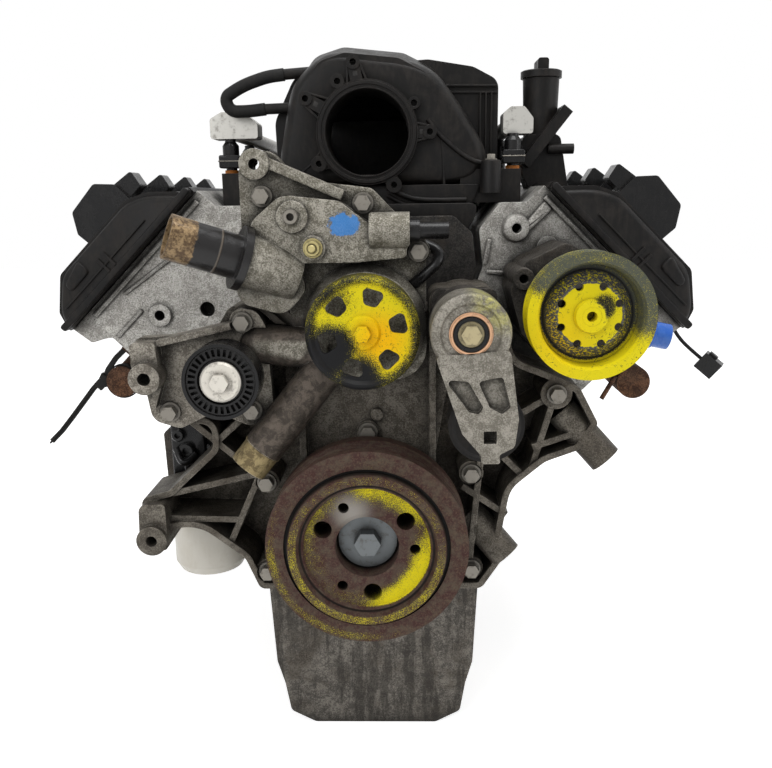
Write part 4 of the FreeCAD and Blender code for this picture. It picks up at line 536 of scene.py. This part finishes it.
def damper_finish():
    """Purple-brown rust under a mist of yellow that is thickest in two arcs at the right of the face, with a
    painted pale sheen at the upper left of the hole.
    """
    kit = Finish("damper_iron", Specular_IOR_Level=0.12)
    disc = Disc(kit, crank_centre)
    across, up, radius = disc.across, disc.up, disc.radius
    patches = kit.noise(120.0, 4.0, 0.7)
    grain = kit.noise(560.0, 3.0, 0.7)
    under = kit.mix(purple_rust, grey_brown, kit.step(patches, 0.35, 0.7))
    under = kit.mix(under, (0.125, 0.080, 0.055), 0.6 * kit.step(grain, 0.48, 0.66))
    # Painted highlight: a pale grey sheen at the upper left of the hole, mixed into the rust colour.
    shine = disc.puff((-0.014, 0.036), 0.002, 0.024)
    under = kit.mix(under, (0.34, 0.32, 0.29), 0.8 * shine)
    face = 1.0 - kit.step(radius, 0.0585, 0.0605)
    outer_face = kit.step(radius, 0.034, 0.052)
    top_right = kit.step(0.50 * across + 0.87 * up, 0.028, 0.056)
    low_right = kit.step(0.80 * across - 0.60 * up, 0.016, 0.052)
    left = kit.step(-0.9 * across + 0.40 * up, 0.030, 0.060)
    share = face * outer_face * (0.16 + (0.44 * top_right).most(0.60 * low_right).most(0.20 * left))
    lower = kit.step(across * -0.25 - up * 0.97, -0.045, 0.035)
    ring = disc.band(0.0655, 0.0735, 0.0010)
    share = share.most(ring * (0.22 + 0.14 * lower))
    rim = disc.band(0.0775, 0.0945, 0.0015)
    edge = disc.band(0.0860, 0.0945, 0.0030) * kit.step(across * -0.75 - up * 0.66, 0.01, 0.075)
    share = share.most(0.06 * rim).most(0.32 * edge)
    gap = disc.band(0.0615, 0.0635, 0.0005).most(disc.band(0.0742, 0.0762, 0.0005))
    under = kit.mix(under, soot_and_shade, 0.9 * gap)
    return sprayed(kit, under, share * (1.0 - gap), rough=0.5, metal=0.2, chip=0.25)


def water_pulley_finish():
    """Black paint under yellow; the lower left was missed, and the rim got only a mist."""
    kit = Finish("pump_pulley_paint", Specular_IOR_Level=0.12)
    disc = Disc(kit, water_pulley_centre)
    missed = disc.puff((-0.030, -0.016), 0.010, 0.026)
    missed = missed.most(disc.puff((-0.004, -0.040), 0.006, 0.026))
    missed = missed.most(0.6 * disc.puff((-0.022, 0.028), 0.003, 0.020))
    rim = kit.step(disc.radius, 0.038, 0.047)
    share = (1.0 - missed) * (0.90 - 0.58 * rim)
    warm = disc.puff((0.016, -0.006), 0.004, 0.034)
    return sprayed(kit, black_paint, share, rough=0.3, warm=warm, chip=0.8)


def steering_pulley_finish():
    """Yellow hub plate and yellow rim, with a scraped black ring between them."""
    kit = Finish("steering_pulley_paint", Specular_IOR_Level=0.12)
    disc = Disc(kit, steering_pulley_centre)
    across, up, radius = disc.across, disc.up, disc.radius
    ragged = radius + 0.004 * (kit.noise(260.0, 4.0, 0.7) - 0.5)
    hub = 1.0 - kit.step(ragged, 0.0272, 0.0288)
    shadow = disc.puff((0.012, 0.008), 0.006, 0.010) * kit.step(radius, 0.010, 0.013)
    hub = hub * (1.0 - 0.75 * shadow)
    rim = kit.step(radius, 0.0395, 0.0435)
    upper = kit.step(up + 0.25 * across, -0.006, 0.022)
    right_side = kit.step(across, 0.022, 0.045) * kit.step(up, -0.035, -0.005)
    bare = upper.most(right_side)
    rim_share = rim * (0.95 - 0.68 * bare)
    shreds = kit.step(kit.noise(420.0, 4.0, 0.75, stretch=(1.0, 1.0, 1.6)), 0.51, 0.57)
    ring = disc.band(0.029, 0.038, 0.003) * shreds
    share = hub.most(rim_share).most(0.95 * ring)
    warm = 0.35 * disc.puff((-0.03, -0.02), 0.0, 0.05)
    scraped = kit.mix(black_paint, (0.085, 0.085, 0.09), disc.band(0.0265, 0.039, 0.002))
    scraped = kit.mix(scraped, (0.105, 0.112, 0.085), 0.8 * rim * bare)
    return sprayed(kit, scraped, share, rough=0.28, warm=warm, chip=0.7, reach=0.008)


damper_iron = damper_finish()
pump_pulley_paint = water_pulley_finish()
steering_pulley_paint = steering_pulley_finish()
print("sprayed finishes ready")

# %% [markdown]
# Each ready-made solid now gets its finish. The names of the solids say what they are, so one list of
# finishes is enough, with the names of the solids that each of them covers.

# %% Finishes on the solids
solids_in = [
    (block_iron, "engine_block main_bearing_caps"),
    (bearing_alloy, "main_bearing_shells pistons"),
    (dark_steel, "crankshaft timing_chain camshaft crank_bolt"),
    (steel, "crank_sprocket cam_sprocket spark_plugs front_bolts water_pump_shaft oil_pan_bolts"),
    (head_alloy, "cylinder_head_right cylinder_head_left"),
    (black_plastic, "valve_cover_right valve_cover_left intake_manifold"),
    (black_plastic, "tensioner_pulley oil_filler_neck filler_cap"),
    (gloss_black, "ignition_coils idler_pulley fuel_injectors temperature_sensor bypass_tube wire_connector"),
    (rust, "exhaust_manifold_right exhaust_manifold_left"),
    (gasket, "head_gaskets"),
    (cover_alloy, "timing_cover rear_seal_retainer"),
    (rubber, "crank_front_seal damper_rubber breather_hose cable_tie sensor_wire"),
    (damper_iron, "damper_hub damper_ring"),
    (pump_alloy, "water_pump_housing"),
    (pump_pulley_paint, "water_pump_pulley water_pulley_bolt"),
    (steering_pulley_paint, "steering_shaft steering_pulley"),
    (cap_alloy, "idler_bolt"),
    (bracket_alloy, "accessory_bracket"),
    (arm_alloy, "tensioner_arm"),
    (dark_alloy, "tensioner_base steering_pump steering_bracket oil_filter_adapter"),
    (dull_brass, "tensioner_bolt"),
    (blue_plastic, "port_cap"),
    (pan_alloy, "oil_pan"),
    (cream_paint, "oil_filter"),
    (bright_zinc, "fuel_rails"),
    (orange_rubber, "injector_seals"),
    (outlet_black, "upper_outlet"),
]
finished = set()
for material, names in solids_in:
    for name in names.split():
        mesh = bpy.data.objects[name].data
        mesh.materials.clear()
        mesh.materials.append(material)
        finished.add(name)
print("solids without a finish:", sorted(set(nodes) - finished))

# %% [markdown]
# The smaller pieces are surfaces worked out from formulas. Every one of them is a stack of closed rings of
# points: a turned piece is a stack of circles, a plate is its outline repeated at several depths, and a tube
# is a circle carried along a path. One function joins the rings into a mesh, so each shape below only has to
# say where its rings are. Lengths are in metres, and (x, z) pairs are seen from the front.


def settle(name, data, material, body):
    """Put a mesh or curve into the scene with its finish and its body."""
    data.materials.append(material)
    piece = bpy.data.objects.new(name, data)
    bpy.context.scene.collection.objects.link(piece)
    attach(piece, body)
    return piece


def skin(name, rings, material, body="engine", ring_closed=False, crease=35.0):
    """Mesh of a stack of rings, an array (rings, points, 3), with flat ends or with the last ring joined
    to the first. The faces are turned outward by the sign of the enclosed volume."""
    rings = np.asarray(rings, float)
    count, size = rings.shape[:2]
    points = rings.reshape(-1, 3)
    rows = np.arange(count if ring_closed else count - 1)
    a = rows[:, None] * size + np.arange(size)[None, :]
    b = rows[:, None] * size + (np.arange(size)[None, :] + 1) % size
    shift = np.where(rows == count - 1, -rows * size, size)[:, None]
    quads = np.stack([a, b, b + shift, a + shift], axis=-1).reshape(-1, 4)
    first, last = np.arange(size)[::-1], (count - 1) * size + np.arange(size)
    faces = [tuple(face) for face in quads.tolist()]
    if not ring_closed:
        faces += [tuple(first.tolist()), tuple(last.tolist())]
    middle = points - points.mean(axis=0)
    corner = middle[quads]
    volume = np.einsum("ij,ij->i", corner[:, 0], np.cross(corner[:, 1], corner[:, 2])).sum()
    volume += np.einsum("ij,ij->i", corner[:, 0], np.cross(corner[:, 2], corner[:, 3])).sum()
    for cap in ([] if ring_closed else [first, last]):
        ends = middle[cap]
        volume += np.einsum("j,ij->i", ends[0], np.cross(ends[1:-1], ends[2:])).sum()
    if volume < 0:
        faces = [face[::-1] for face in faces]
    mesh = bpy.data.meshes.new(name)
    mesh.from_pydata(points.tolist(), [], faces)
    mesh.shade_smooth()
    mesh.set_sharp_from_angle(angle=math.radians(crease))
    return settle(name, mesh, material, body)


def circle(sides, start=0.0):
    turn = start + np.arange(sides) / sides * 2 * math.pi
    return np.stack([np.cos(turn), np.sin(turn)], axis=-1)


def rounded(corners, radius, steps):
    """Outline through corners, each corner cut by a parabola that starts radius before it."""
    corners = np.array(corners, float)
    before = np.roll(corners, 1, axis=0) - corners
    after = np.roll(corners, -1, axis=0) - corners
    reach_b = np.minimum(radius, 0.45 * np.linalg.norm(before, axis=1)) / np.linalg.norm(before, axis=1)
    reach_a = np.minimum(radius, 0.45 * np.linalg.norm(after, axis=1)) / np.linalg.norm(after, axis=1)
    s = np.linspace(0, 1, steps)[None, :, None]
    bend = (1 - s) ** 2 * (before * reach_b[:, None])[:, None] + s ** 2 * (after * reach_a[:, None])[:, None]
    return (corners[:, None] + bend).reshape(-1, 2)


def strip(points, width):
    """Outline of a narrow bar or strap of a given width along a line of flat points."""
    line = np.array(points, float)
    way = np.gradient(line, axis=0)
    way /= np.linalg.norm(way, axis=1, keepdims=True)
    aside = np.stack([-way[:, 1], way[:, 0]], axis=1) * width / 2
    return np.concatenate([line + aside, (line - aside)[::-1]])


def inset(outline, amount):
    """Outline moved inward by amount along its own normals."""
    along = np.roll(outline, -1, axis=0) - np.roll(outline, 1, axis=0)
    along /= np.linalg.norm(along, axis=1)[:, None] + 1e-12
    normal = np.stack([-along[:, 1], along[:, 0]], axis=-1)
    x, z = outline[:, 0], outline[:, 1]
    area = np.sum(x * np.roll(z, -1) - np.roll(x, -1) * z)
    return outline + normal * amount * (1.0 if area > 0 else -1.0)


def at_depth(outline, y):
    """Flat outline of (x, z) pairs as points at depth y."""
    return np.stack([outline[:, 0], np.full(len(outline), y), outline[:, 1]], axis=-1)


def plate(name, outline, y_back, y_front, material, edge=0.0008):
    """Flat piece with a rounded front edge: the outline at y_back, then drawn in along a quarter turn."""
    outline = np.asarray(outline, float)
    rings = [at_depth(outline, y_back)]
    for turn in np.linspace(0, math.pi / 2, 4):
        drawn_in = inset(outline, edge * (1 - math.cos(turn)))
        rings.append(at_depth(drawn_in, y_front + edge * (1 - math.sin(turn))))
    return skin(name, rings, material)


def basis(direction):
    """Unit vector along a direction, and two unit vectors square to it."""
    d = np.array(direction, float) / np.linalg.norm(direction)
    helper = np.array((0.0, 0.0, 1.0)) if abs(d[2]) < 0.9 else np.array((1.0, 0.0, 0.0))
    first = np.cross(d, helper)
    first /= np.linalg.norm(first)
    return d, first, np.cross(d, first)


def turned(name, profile, base, material, direction=(0, -1, 0), sides=48, ring_closed=False, **where):
    """Piece turned on a lathe: profile holds (distance along the axis, radius) pairs."""
    d, first, second = basis(direction)
    around = circle(sides)
    rings = []
    for distance, radius in profile:
        centre = np.array(base, float) + d * distance
        rings.append(centre + radius * (around[:, :1] * first + around[:, 1:] * second))
    return skin(name, rings, material, ring_closed=ring_closed, **where)


def tube(name, path, radius, material, sides=12):
    """Circle carried along a path; the cross-section is turned as little as possible from point to point."""
    path = np.array(path, float)
    ahead = np.gradient(path, axis=0)
    ahead /= np.linalg.norm(ahead, axis=1)[:, None]
    side = basis(ahead[0])[1]
    around = circle(sides)
    rings = []
    for point, forward in zip(path, ahead):
        side = side - forward * np.dot(side, forward)
        side /= np.linalg.norm(side)
        rings.append(point + radius * (around[:, :1] * side + around[:, 1:] * np.cross(forward, side)))
    return skin(name, rings, material)


def smooth_path(points, steps):
    """Curve through points, with each stretch blended from its four nearest points."""
    p = np.array(points, float)
    p = np.vstack([2 * p[0] - p[1], p, 2 * p[-1] - p[-2]])
    s = np.linspace(0, 1, steps, endpoint=False)[:, None]
    parts = []
    for a, b, c, d in zip(p, p[1:], p[2:], p[3:]):
        parts.append(0.5 * (2 * b + (c - a) * s + (2 * a - 5 * b + 4 * c - d) * s ** 2
                            + (3 * b - a - 3 * c + d) * s ** 3))
    return np.vstack(parts + [p[-2][None]])


def hex_head(name, x, z, y_seat, across, height, material, washer, turn=0.3):
    """Bolt head: a flat washer, six flats and a shallow dish, as rings that go from round to six-sided."""
    corners = circle(6, turn) * across / math.sqrt(3)
    thirds = np.linspace(0, 1, 4)[:3, None]
    flats = np.concatenate([a + (b - a) * thirds for a, b in zip(corners, np.roll(corners, -1, axis=0))])
    round_top = circle(18, turn) * across / 2
    wide = circle(18, turn) * washer
    top = y_seat - height
    rings = [(wide, y_seat), (wide, y_seat - 0.0016), (flats * 0.99, y_seat - 0.0018), (flats, top + 0.0012),
             (round_top, top), (round_top * 0.7, top + 0.0001), (round_top * 0.62, top + 0.0006)]
    centre = np.array((x, z))
    return skin(name, [at_depth(outline + centre, y) for outline, y in rings], material)


print("shape tools ready")

# %% [markdown]
# The plenum is blown from plastic, so it has no sharp corner: its face rolls over a wide shoulder into the
# sides. Seen from the throttle's centre every direction meets the outline once, so the shell is worked out in
# polar form: one ring of points around the throttle for each step of a cross-section that starts at the
# throttle ring, runs over the face and down the shoulder, and comes back behind it.

# %% Plenum shell
throttle = np.array((0.0, 0.383046))
throttle_face = -0.494
shell_face = -0.4815
shell_back = -0.4400
shoulder_width = 0.013
shoulder_depth = 0.026
plenum_outline = [(-0.096, 0.352), (-0.089, 0.388), (-0.080, 0.431), (-0.066, 0.448), (-0.048, 0.4620),
                  (-0.030, 0.4665), (0.034, 0.4590), (0.056, 0.4530), (0.074, 0.4430), (0.098, 0.4110),
                  (0.1270, 0.3630), (0.121, 0.336), (0.085, 0.3290), (-0.090, 0.3290)]


def reach(outline, centre, turns):
    """Distance from centre to a closed outline in each direction, where it crosses the ray."""
    a = outline - centre
    b = np.roll(a, -1, axis=0)
    ray = np.stack([np.cos(turns), np.sin(turns)], axis=-1)[:, None, :]
    edge = (b - a)[None]
    cross = ray[..., 0] * edge[..., 1] - ray[..., 1] * edge[..., 0]
    cross = np.where(np.abs(cross) < 1e-12, 1e-12, cross)
    far = (a[None, :, 0] * edge[..., 1] - a[None, :, 1] * edge[..., 0]) / cross
    share = (a[None, :, 0] * ray[..., 1] - a[None, :, 1] * ray[..., 0]) / cross
    hit = (far > 0) & (share >= -1e-9) & (share <= 1 + 1e-9)
    return np.where(hit, far, np.inf).min(axis=1)


def plenum_shell():
    """Rings r(t), y(t): a nearly flat face, then an elliptic shoulder, shoulder_width by shoulder_depth."""
    turns = np.linspace(0, 2 * math.pi, 181)[:-1]
    outer = reach(rounded(plenum_outline, 0.016, 7), throttle, turns)
    for _ in range(2):
        outer = (np.roll(outer, 1) + 2 * outer + np.roll(outer, -1)) / 4
    inner = np.full_like(turns, 0.0495)
    flat = outer - shoulder_width
    steps = [(inner, shell_back), (inner, shell_face)]
    for share in (0.35, 0.7):
        steps.append((inner + (flat - inner) * share, shell_face - 0.0012 * math.sin(math.pi * share)))
    for angle in np.linspace(0, math.pi / 2, 9):
        steps.append((flat + shoulder_width * math.sin(angle),
                      shell_face + shoulder_depth * (1 - math.cos(angle))))
    steps += [(outer, shell_back), (outer - 0.006, shell_back + 0.0015)]
    ray = np.stack([np.cos(turns), np.sin(turns)], axis=-1)
    rings = [at_depth(throttle + ray * radius[:, None], y) for radius, y in steps]
    skin("plenum_shell", rings, black_plastic, ring_closed=True, crease=50)


def throttle_lip():
    """Two low rings with a groove between them, where the throttle body seals."""
    profile = [(0.0, 0.0426), (0.0016, 0.0428), (0.0016, 0.0440), (0.0004, 0.0443), (0.0004, 0.0466),
               (0.0018, 0.0469), (0.0018, 0.0500), (0.0, 0.0510), (-0.002, 0.0510), (-0.002, 0.0426)]
    turned("throttle_lip", profile, (throttle[0], throttle_face, throttle[1]), black_plastic, sides=96,
           ring_closed=True)


def ear_braces():
    """Two thin walls from each large ear to the throttle ring, with a dark plate between them as painted
    shade in the window.
    """
    ring, seat, front = 0.0505, -0.4805, -0.4925
    ears = [(-0.013, 0.068, 0.20), (-0.062, 0.034, 0.22), (-0.050, -0.030, 0.20), (0.064, 0.0, 0.18)]
    for index, (x, z, spread) in enumerate(ears):
        ear = np.array((x, z))
        far = math.hypot(x, z)
        facing = math.atan2(z, x)
        beside = np.array((-math.sin(facing), math.cos(facing)))
        for side in (-1, 1):
            turn = facing + side * spread
            root = throttle + ring * np.array((math.cos(turn), math.sin(turn)))
            tip = throttle + ear + 0.0058 * side * beside
            wall = strip([root, tip], 0.0022)
            plate("ear_brace_%d_%d" % (index, side + 1), wall, seat, front, black_plastic, edge=0.0004)
        # Painted shade: a dark plate fills the window between the walls, where only shadow is.
        window = throttle + ear * (ring + 0.42 * (far - ring)) / far
        hole = rounded(window + 0.0035 * circle(4, facing + math.pi / 4), 0.001, 3)
        plate("ear_window_%d" % index, hole, seat, front + 0.0003, gasket, edge=0.0002)


plenum_shell()
throttle_lip()
ear_braces()

# %% [markdown]
# Around the plenum come the parts that the mould leaves: a seam that sweeps down to the right, a double lip
# under the face, ribs on the box behind, and a post with its bolt. A dark baffle closes the valley between
# the heads.

# %% Intake ribs, seams and baffle


def seen_line(name, points, y, radius):
    """Black bead along a curve through (x, z) points at depth y."""
    tube(name, at_depth(smooth_path(points, 6), y), radius, black_plastic)


def intake_details():
    sweep = [(0.062, 0.396), (0.072, 0.383), (0.086, 0.3700), (0.099, 0.3600), (0.109, 0.3545),
             (0.118, 0.352)]
    seen_line("seam_right", sweep, shell_face - 0.0007, 0.0026)
    seen_line("seam_left", [(-0.052, 0.357), (-0.064, 0.349), (-0.083, 0.333)], shell_face, 0.0018)
    seen_line("shell_ridge", [(0.076, 0.3790), (0.078, 0.355), (0.079, 0.331)], shell_face - 0.0001, 0.0016)
    lip = np.array([(0.020, 0.3290), (0.034, 0.3215), (0.050, 0.3165), (0.072, 0.3150), (0.102, 0.3150)])
    for index in range(2):
        seen_line("lower_lip_%d" % index, lip - (0.0, 0.0085 * index), -0.4860 + 0.003 * index, 0.0030)
    skirt = [(-0.060, 0.331), (0.118, 0.331), (0.104, 0.3035), (0.060, 0.3035), (0.034, 0.310),
             (-0.060, 0.312)]
    plate("plenum_skirt", rounded(skirt, 0.006, 4), shell_back, -0.4840, black_plastic)
    baffle = [(-0.090, 0.312), (0.112, 0.312), (0.110, 0.296), (0.092, 0.272), (0.060, 0.262),
              (-0.060, 0.262)]
    plate("valley_baffle", rounded(baffle, 0.008, 4), -0.4950, -0.5050, black_plastic)
    box_face = -0.430
    for index, x in enumerate((0.1195, 0.1255, 0.1315)):
        rib = strip([(x, 0.342), (x, 0.4265)], 0.0018)
        plate("box_rib_%d" % index, rib, box_face, -0.4415, black_plastic, edge=0.0003)
    for index, z in enumerate((0.4265, 0.4330)):
        ledge = [(0.078, z), (0.1375, z - 0.001), (0.1375, z + 0.0012), (0.078, z + 0.0022)]
        plate("box_ledge_%d" % index, ledge, box_face, -0.4400 - 0.001 * index, black_plastic, edge=0.0003)
    post_x, post_y, upward = 0.1268, -0.489, (0, 0, 1)
    profile = [(0.0, 0.0112), (0.031, 0.0104), (0.0325, 0.0098), (0.0330, 0.0088), (0.0330, 0.0)]
    turned("runner_post", profile, (post_x, post_y, 0.3215), black_plastic, upward, sides=28)
    profile = [(0.0, 0.0068), (0.0014, 0.0068), (0.0016, 0.0048), (0.0058, 0.0046), (0.0062, 0.004)]
    turned("post_bolt", profile, (post_x, post_y, 0.3543), steel, upward, sides=6)


intake_details()

# %% [markdown]
# The coolant pump carries a plug, a nut on its stud, and raised pads where the casting was ejected from its
# mould. The tensioner's hub has a copper bush around a black ring.

# %% Pump fittings and tensioner bush


def pump_details():
    radius, hole, height = 0.0066, 0.0034, 0.0075
    collar = [(0.0, radius), (height * 0.8, radius), (height, radius * 0.92), (height, hole),
              (height * 0.25, hole * 0.96), (height * 0.25, 0.0002)]
    turned("pump_plug", collar, (-0.0625, -0.6258, 0.3030), steel, sides=24)
    hex_head("pump_nut", -0.0440, 0.2756, -0.6278, 0.0130, 0.0085, brass, washer=0.0088)
    stud = [(0.0, 0.0034), (0.0034, 0.0034), (0.004, 0.0026)]
    turned("nut_stud", stud, (-0.044, -0.6358, 0.2756), brass, sides=16)
    pad = [(0.0, 0.0046), (0.0032, 0.0044), (0.0036, 0.0036), (0.003, 0.0022)]
    for index, (x, z) in enumerate([(-0.0836, 0.2958), (-0.0382, 0.3040), (0.0181, 0.2918)]):
        turned("cast_pad_%d" % index, pad, (x, -0.6175, z), bracket_alloy, sides=20)


def tensioner_bush():
    """Copper ring on the swinging arm, and inside it the black ring that stays with the bolt."""
    x, z = 0.092, 0.207
    bush = [(0.0, 0.0150), (0.0012, 0.0154), (0.0012, 0.0170), (0.0002, 0.0176), (0.0002, 0.0184),
            (-0.003, 0.0184), (-0.003, 0.0150)]
    turned("tensioner_bush", bush, (x, -0.6888, z), copper, sides=64, body="tensioner", ring_closed=True)
    spacer = [(0.0, 0.0112), (0.0016, 0.0114), (0.0016, 0.0144), (0.0, 0.0148), (-0.002, 0.0148),
              (-0.002, 0.0112)]
    turned("tensioner_spacer", spacer, (x, -0.6886, z), gloss_black, ring_closed=True)


pump_details()
tensioner_bush()

# %% [markdown]
# The valve covers and the heads lie along their banks. A point on a bank is given by its distance across,
# measured outward and down from the cylinder line, and by its height along the bank. Each cover gets a
# rolled face, a rim over the gasket and a small stiffening ledge; each head gets the ribs of its casting.

# %% Covers and heads
half_turn = math.sqrt(0.5)
cover_face = {1: -0.531, -1: -0.507}
head_face = {1: -0.514, -1: -0.490}


def bank_outline(side, pairs):
    """(across, along) pairs as (x, z) pairs seen from the front."""
    across, along = np.array(pairs, float).T
    return np.stack([side * (along + across) * half_turn, (along - across) * half_turn], axis=-1)


def cover_details(side, label):
    """Each piece: outline on the bank, corner radius and steps, how far behind and before the face, edge."""
    face = [(0.0940, 0.3600), (0.0865, 0.3760), (0.0550, 0.3995), (-0.0480, 0.3995), (-0.0690, 0.3890),
            (-0.0900, 0.3680), (-0.0940, 0.3600)]
    rim = [(0.0985, 0.3585), (0.0985, 0.3660), (-0.1035, 0.3660), (-0.1035, 0.3585)]
    hump = [(0.030, 0.3800), (0.060, 0.3800), (0.060, 0.3900), (0.030, 0.3970)]
    ledge = strip([(-0.050, 0.3735), (0.078, 0.3735)], 0.0018)
    pieces = [("cover_face_%s", face, (0.010, 6), 0.002, 0.0055, 0.0055),
              ("cover_rim_%s", rim, (0.003, 4), 0.004, 0.0070, 0.0015),
              ("cover_ledge_%s", ledge, None, -0.004, 0.0072, 0.0005)]
    for index, across in enumerate((0.006, 0.0155)):
        rib = strip([(across, 0.3655), (across, 0.3830)], 0.0030)
        pieces.append(("cover_rib_%%s_%d" % index, rib, None, -0.004, 0.0078, 0.0008))
    pieces.append(("cover_hump_%s", hump, (0.006, 5), -0.003, 0.0085, 0.003))
    y = cover_face[side]
    for name, pairs, corner, behind, before, edge in pieces:
        outline = bank_outline(side, pairs)
        if corner:
            outline = rounded(outline, *corner)
        plate(name % label, outline, y + behind, y - before, black_plastic, edge=edge)


def head_rib(name, outline, y, rise):
    """Cast rib that rises from a head's face at depth y."""
    plate(name, rounded(outline, 0.0012, 3), y + 0.002, y - rise, head_alloy, edge=0.0016)


def head_details(side, label):
    """Ribs of the casting: from, to, width and rise of each."""
    lines = [((-0.098, 0.3505), (0.070, 0.3505), 0.0055, 0.0045),
             ((-0.046, 0.3300), (0.030, 0.3430), 0.0040, 0.0030),
             ((-0.070, 0.2700), (-0.046, 0.3300), 0.0045, 0.0035),
             ((-0.010, 0.2420), (0.066, 0.2420), 0.0050, 0.0030),
             ((0.030, 0.3180), (0.072, 0.3180), 0.0045, 0.0030)]
    for index, (*ends, width, rise) in enumerate(lines):
        outline = bank_outline(side, strip(ends, width))
        head_rib("head_rib_%s_%d" % (label, index), outline, head_face[side], rise)


def right_head_boss():
    """Bored boss on the front of the right head, with the arm and the ridges beside it."""
    y = head_face[1]
    profile = [(0.0, 0.0150), (0.006, 0.0135), (0.0085, 0.0125), (0.0092, 0.0112), (0.0092, 0.0050),
               (0.0010, 0.0044)]
    turned("head_boss", profile, (0.1503, y + 0.001, 0.2865), head_alloy, sides=44)
    arm = rounded([(0.146, 0.276), (0.157, 0.277), (0.186, 0.305), (0.178, 0.313)], 0.003, 4)
    plate("head_arm", arm, y + 0.002, y - 0.0060, head_alloy, edge=0.002)
    ridges = [((0.1210, 0.2430), (0.1540, 0.2400)), ((0.1240, 0.2760), (0.1190, 0.2500))]
    for index, ends in enumerate(ridges):
        head_rib("head_ridge_%d" % index, strip(ends, 0.0044), y, 0.0040)


for side, label in ((1, "right"), (-1, "left")):
    cover_details(side, label)
    head_details(side, label)
right_head_boss()

# %% [markdown]
# Then come the small things at the edges: the black unit beside the block, the tie's strap and lock, the
# injectors' clips and the manifolds' studs.

# %% Small things at the edges


def side_unit():
    """Glossy black unit on the block's flank, seen through the gap of the left wing."""
    outline = [(-0.2125, 0.0890), (-0.1780, 0.0890), (-0.1740, 0.0390), (-0.1960, 0.0230), (-0.2125, 0.0180)]
    plate("side_unit", rounded(outline, 0.004, 4), -0.5200, -0.5340, gloss_black, edge=0.002)
    sockets = [(-0.2035, 0.0770, 0.0070), (-0.1955, 0.0600, 0.0085), (-0.1915, 0.0415, 0.0070)]
    for index, (x, z, radius) in enumerate(sockets):
        profile = [(0.0, radius), (0.006, radius), (0.0075, radius * 0.8), (0.0075, radius * 0.45),
                   (0.003, radius * 0.4)]
        turned("side_socket_%d" % index, profile, (x, -0.5335, z), gloss_black, sides=28)
    bend = [(-0.206, -0.538, 0.062), (-0.200, -0.545, 0.052), (-0.194, -0.545, 0.050),
            (-0.186, -0.538, 0.056)]
    tube("side_pipe", smooth_path(bend, 6), 0.0042, gloss_black)


def tie_details():
    """The tie's flat strap, seen broadside, and the box of its lock."""
    tail = [(-0.3110, 0.1187), (-0.3230, 0.1087), (-0.3509, 0.0747), (-0.3658, 0.0572), (-0.3791, 0.0445)]
    strap = [(-0.3100, 0.1177), (-0.3040, 0.1307), (-0.2940, 0.1437), (-0.2820, 0.1547)]
    lock = [(-0.3180, 0.1097), (-0.3110, 0.1167), (-0.3070, 0.1237)]
    plate("tie_tail", strip(tail, 0.0060), -0.4490, -0.4508, rubber, edge=0.0004)
    plate("tie_strap", strip(strap, 0.0062), -0.4500, -0.4520, rubber, edge=0.0004)
    plate("tie_lock", strip(lock, 0.0110), -0.4470, -0.4545, rubber, edge=0.0012)


def injector_details():
    """Clip across the front injector of each bank, with its wire."""
    for side, y, label in ((1, -0.452, "right"), (-1, -0.428, "left")):
        x = side * 0.1535
        clip = rounded(strip([(x - 0.0115, 0.359), (x + 0.0115, 0.359)], 0.014), 0.002, 3)
        plate("injector_clip_" + label, clip, y + 0.002, y - 0.0125, gloss_black, edge=0.001)
        ends = (x - 0.012, y - 0.0128, 0.3595), (x + 0.012, y - 0.0128, 0.3595)
        tube("clip_wire_" + label, np.linspace(*ends, 6), 0.0007, steel, sides=8)


def manifold_studs():
    studs = [((0.262, -0.500, 0.128), (0.247, -0.506, 0.105)),
             ((-0.256, -0.480, 0.150), (-0.262, -0.486, 0.137))]
    for index, ends in enumerate(studs):
        tube("manifold_stud_%d" % index, np.linspace(*ends, 5), 0.0026, rust, sides=10)


side_unit()
tie_details()
injector_details()
manifold_studs()

# %% [markdown]
# The short lead leaves a grommet in the right valve cover and ends in an open plug with a yellow insert. Its
# line is a smooth curve with the points of its route as control points, and its thickness is the curve's own
# bevel.

# %% The short lead
lead_diameter = 0.004
lead_route = [(0.332, -0.437, 0.192), (0.336, -0.444, 0.176), (0.344, -0.452, 0.160), (0.357, -0.460, 0.147),
              (0.365, -0.464, 0.140)]
plug_length = 0.022


def lead():
    curve = bpy.data.curves.new("lead", "CURVE")
    curve.dimensions = "3D"
    curve.bevel_depth = lead_diameter / 2
    curve.bevel_resolution = 4
    line = curve.splines.new("NURBS")
    line.points.add(len(lead_route) - 1)
    for point, place in zip(line.points, lead_route):
        point.co = (*place, 1.0)
    line.order_u = 3
    line.use_endpoint_u = True
    line.resolution_u = 12
    piece = settle("lead", curve, rubber, "engine")
    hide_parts("sensor_wire")
    return piece


def plug_insert():
    """Yellow seal in the mouth of the plug, with its rim standing a little proud."""
    end, before = np.array(lead_route[-1]), np.array(lead_route[-2])
    way = (end - before) / np.linalg.norm(end - before)
    flat = np.array((-way[1], way[0], 0.0))
    flat /= np.linalg.norm(flat)
    high = np.cross(way, flat)
    outline = rounded(strip([(0.0, -0.0060), (0.0, 0.0060)], 0.0100), 0.0016, 4)
    depths = [(0.0070, 0.96), (0.0022, 1.0), (0.0012, 0.96), (0.0012, 0.70), (0.0045, 0.66)]
    rings = []
    for depth, size in depths:
        rings.append([end + (plug_length - depth) * way + size * (b * flat + a * high) for a, b in outline])
    return skin("plug_insert", rings, yellow_seal)


wire = lead()
insert = plug_insert()
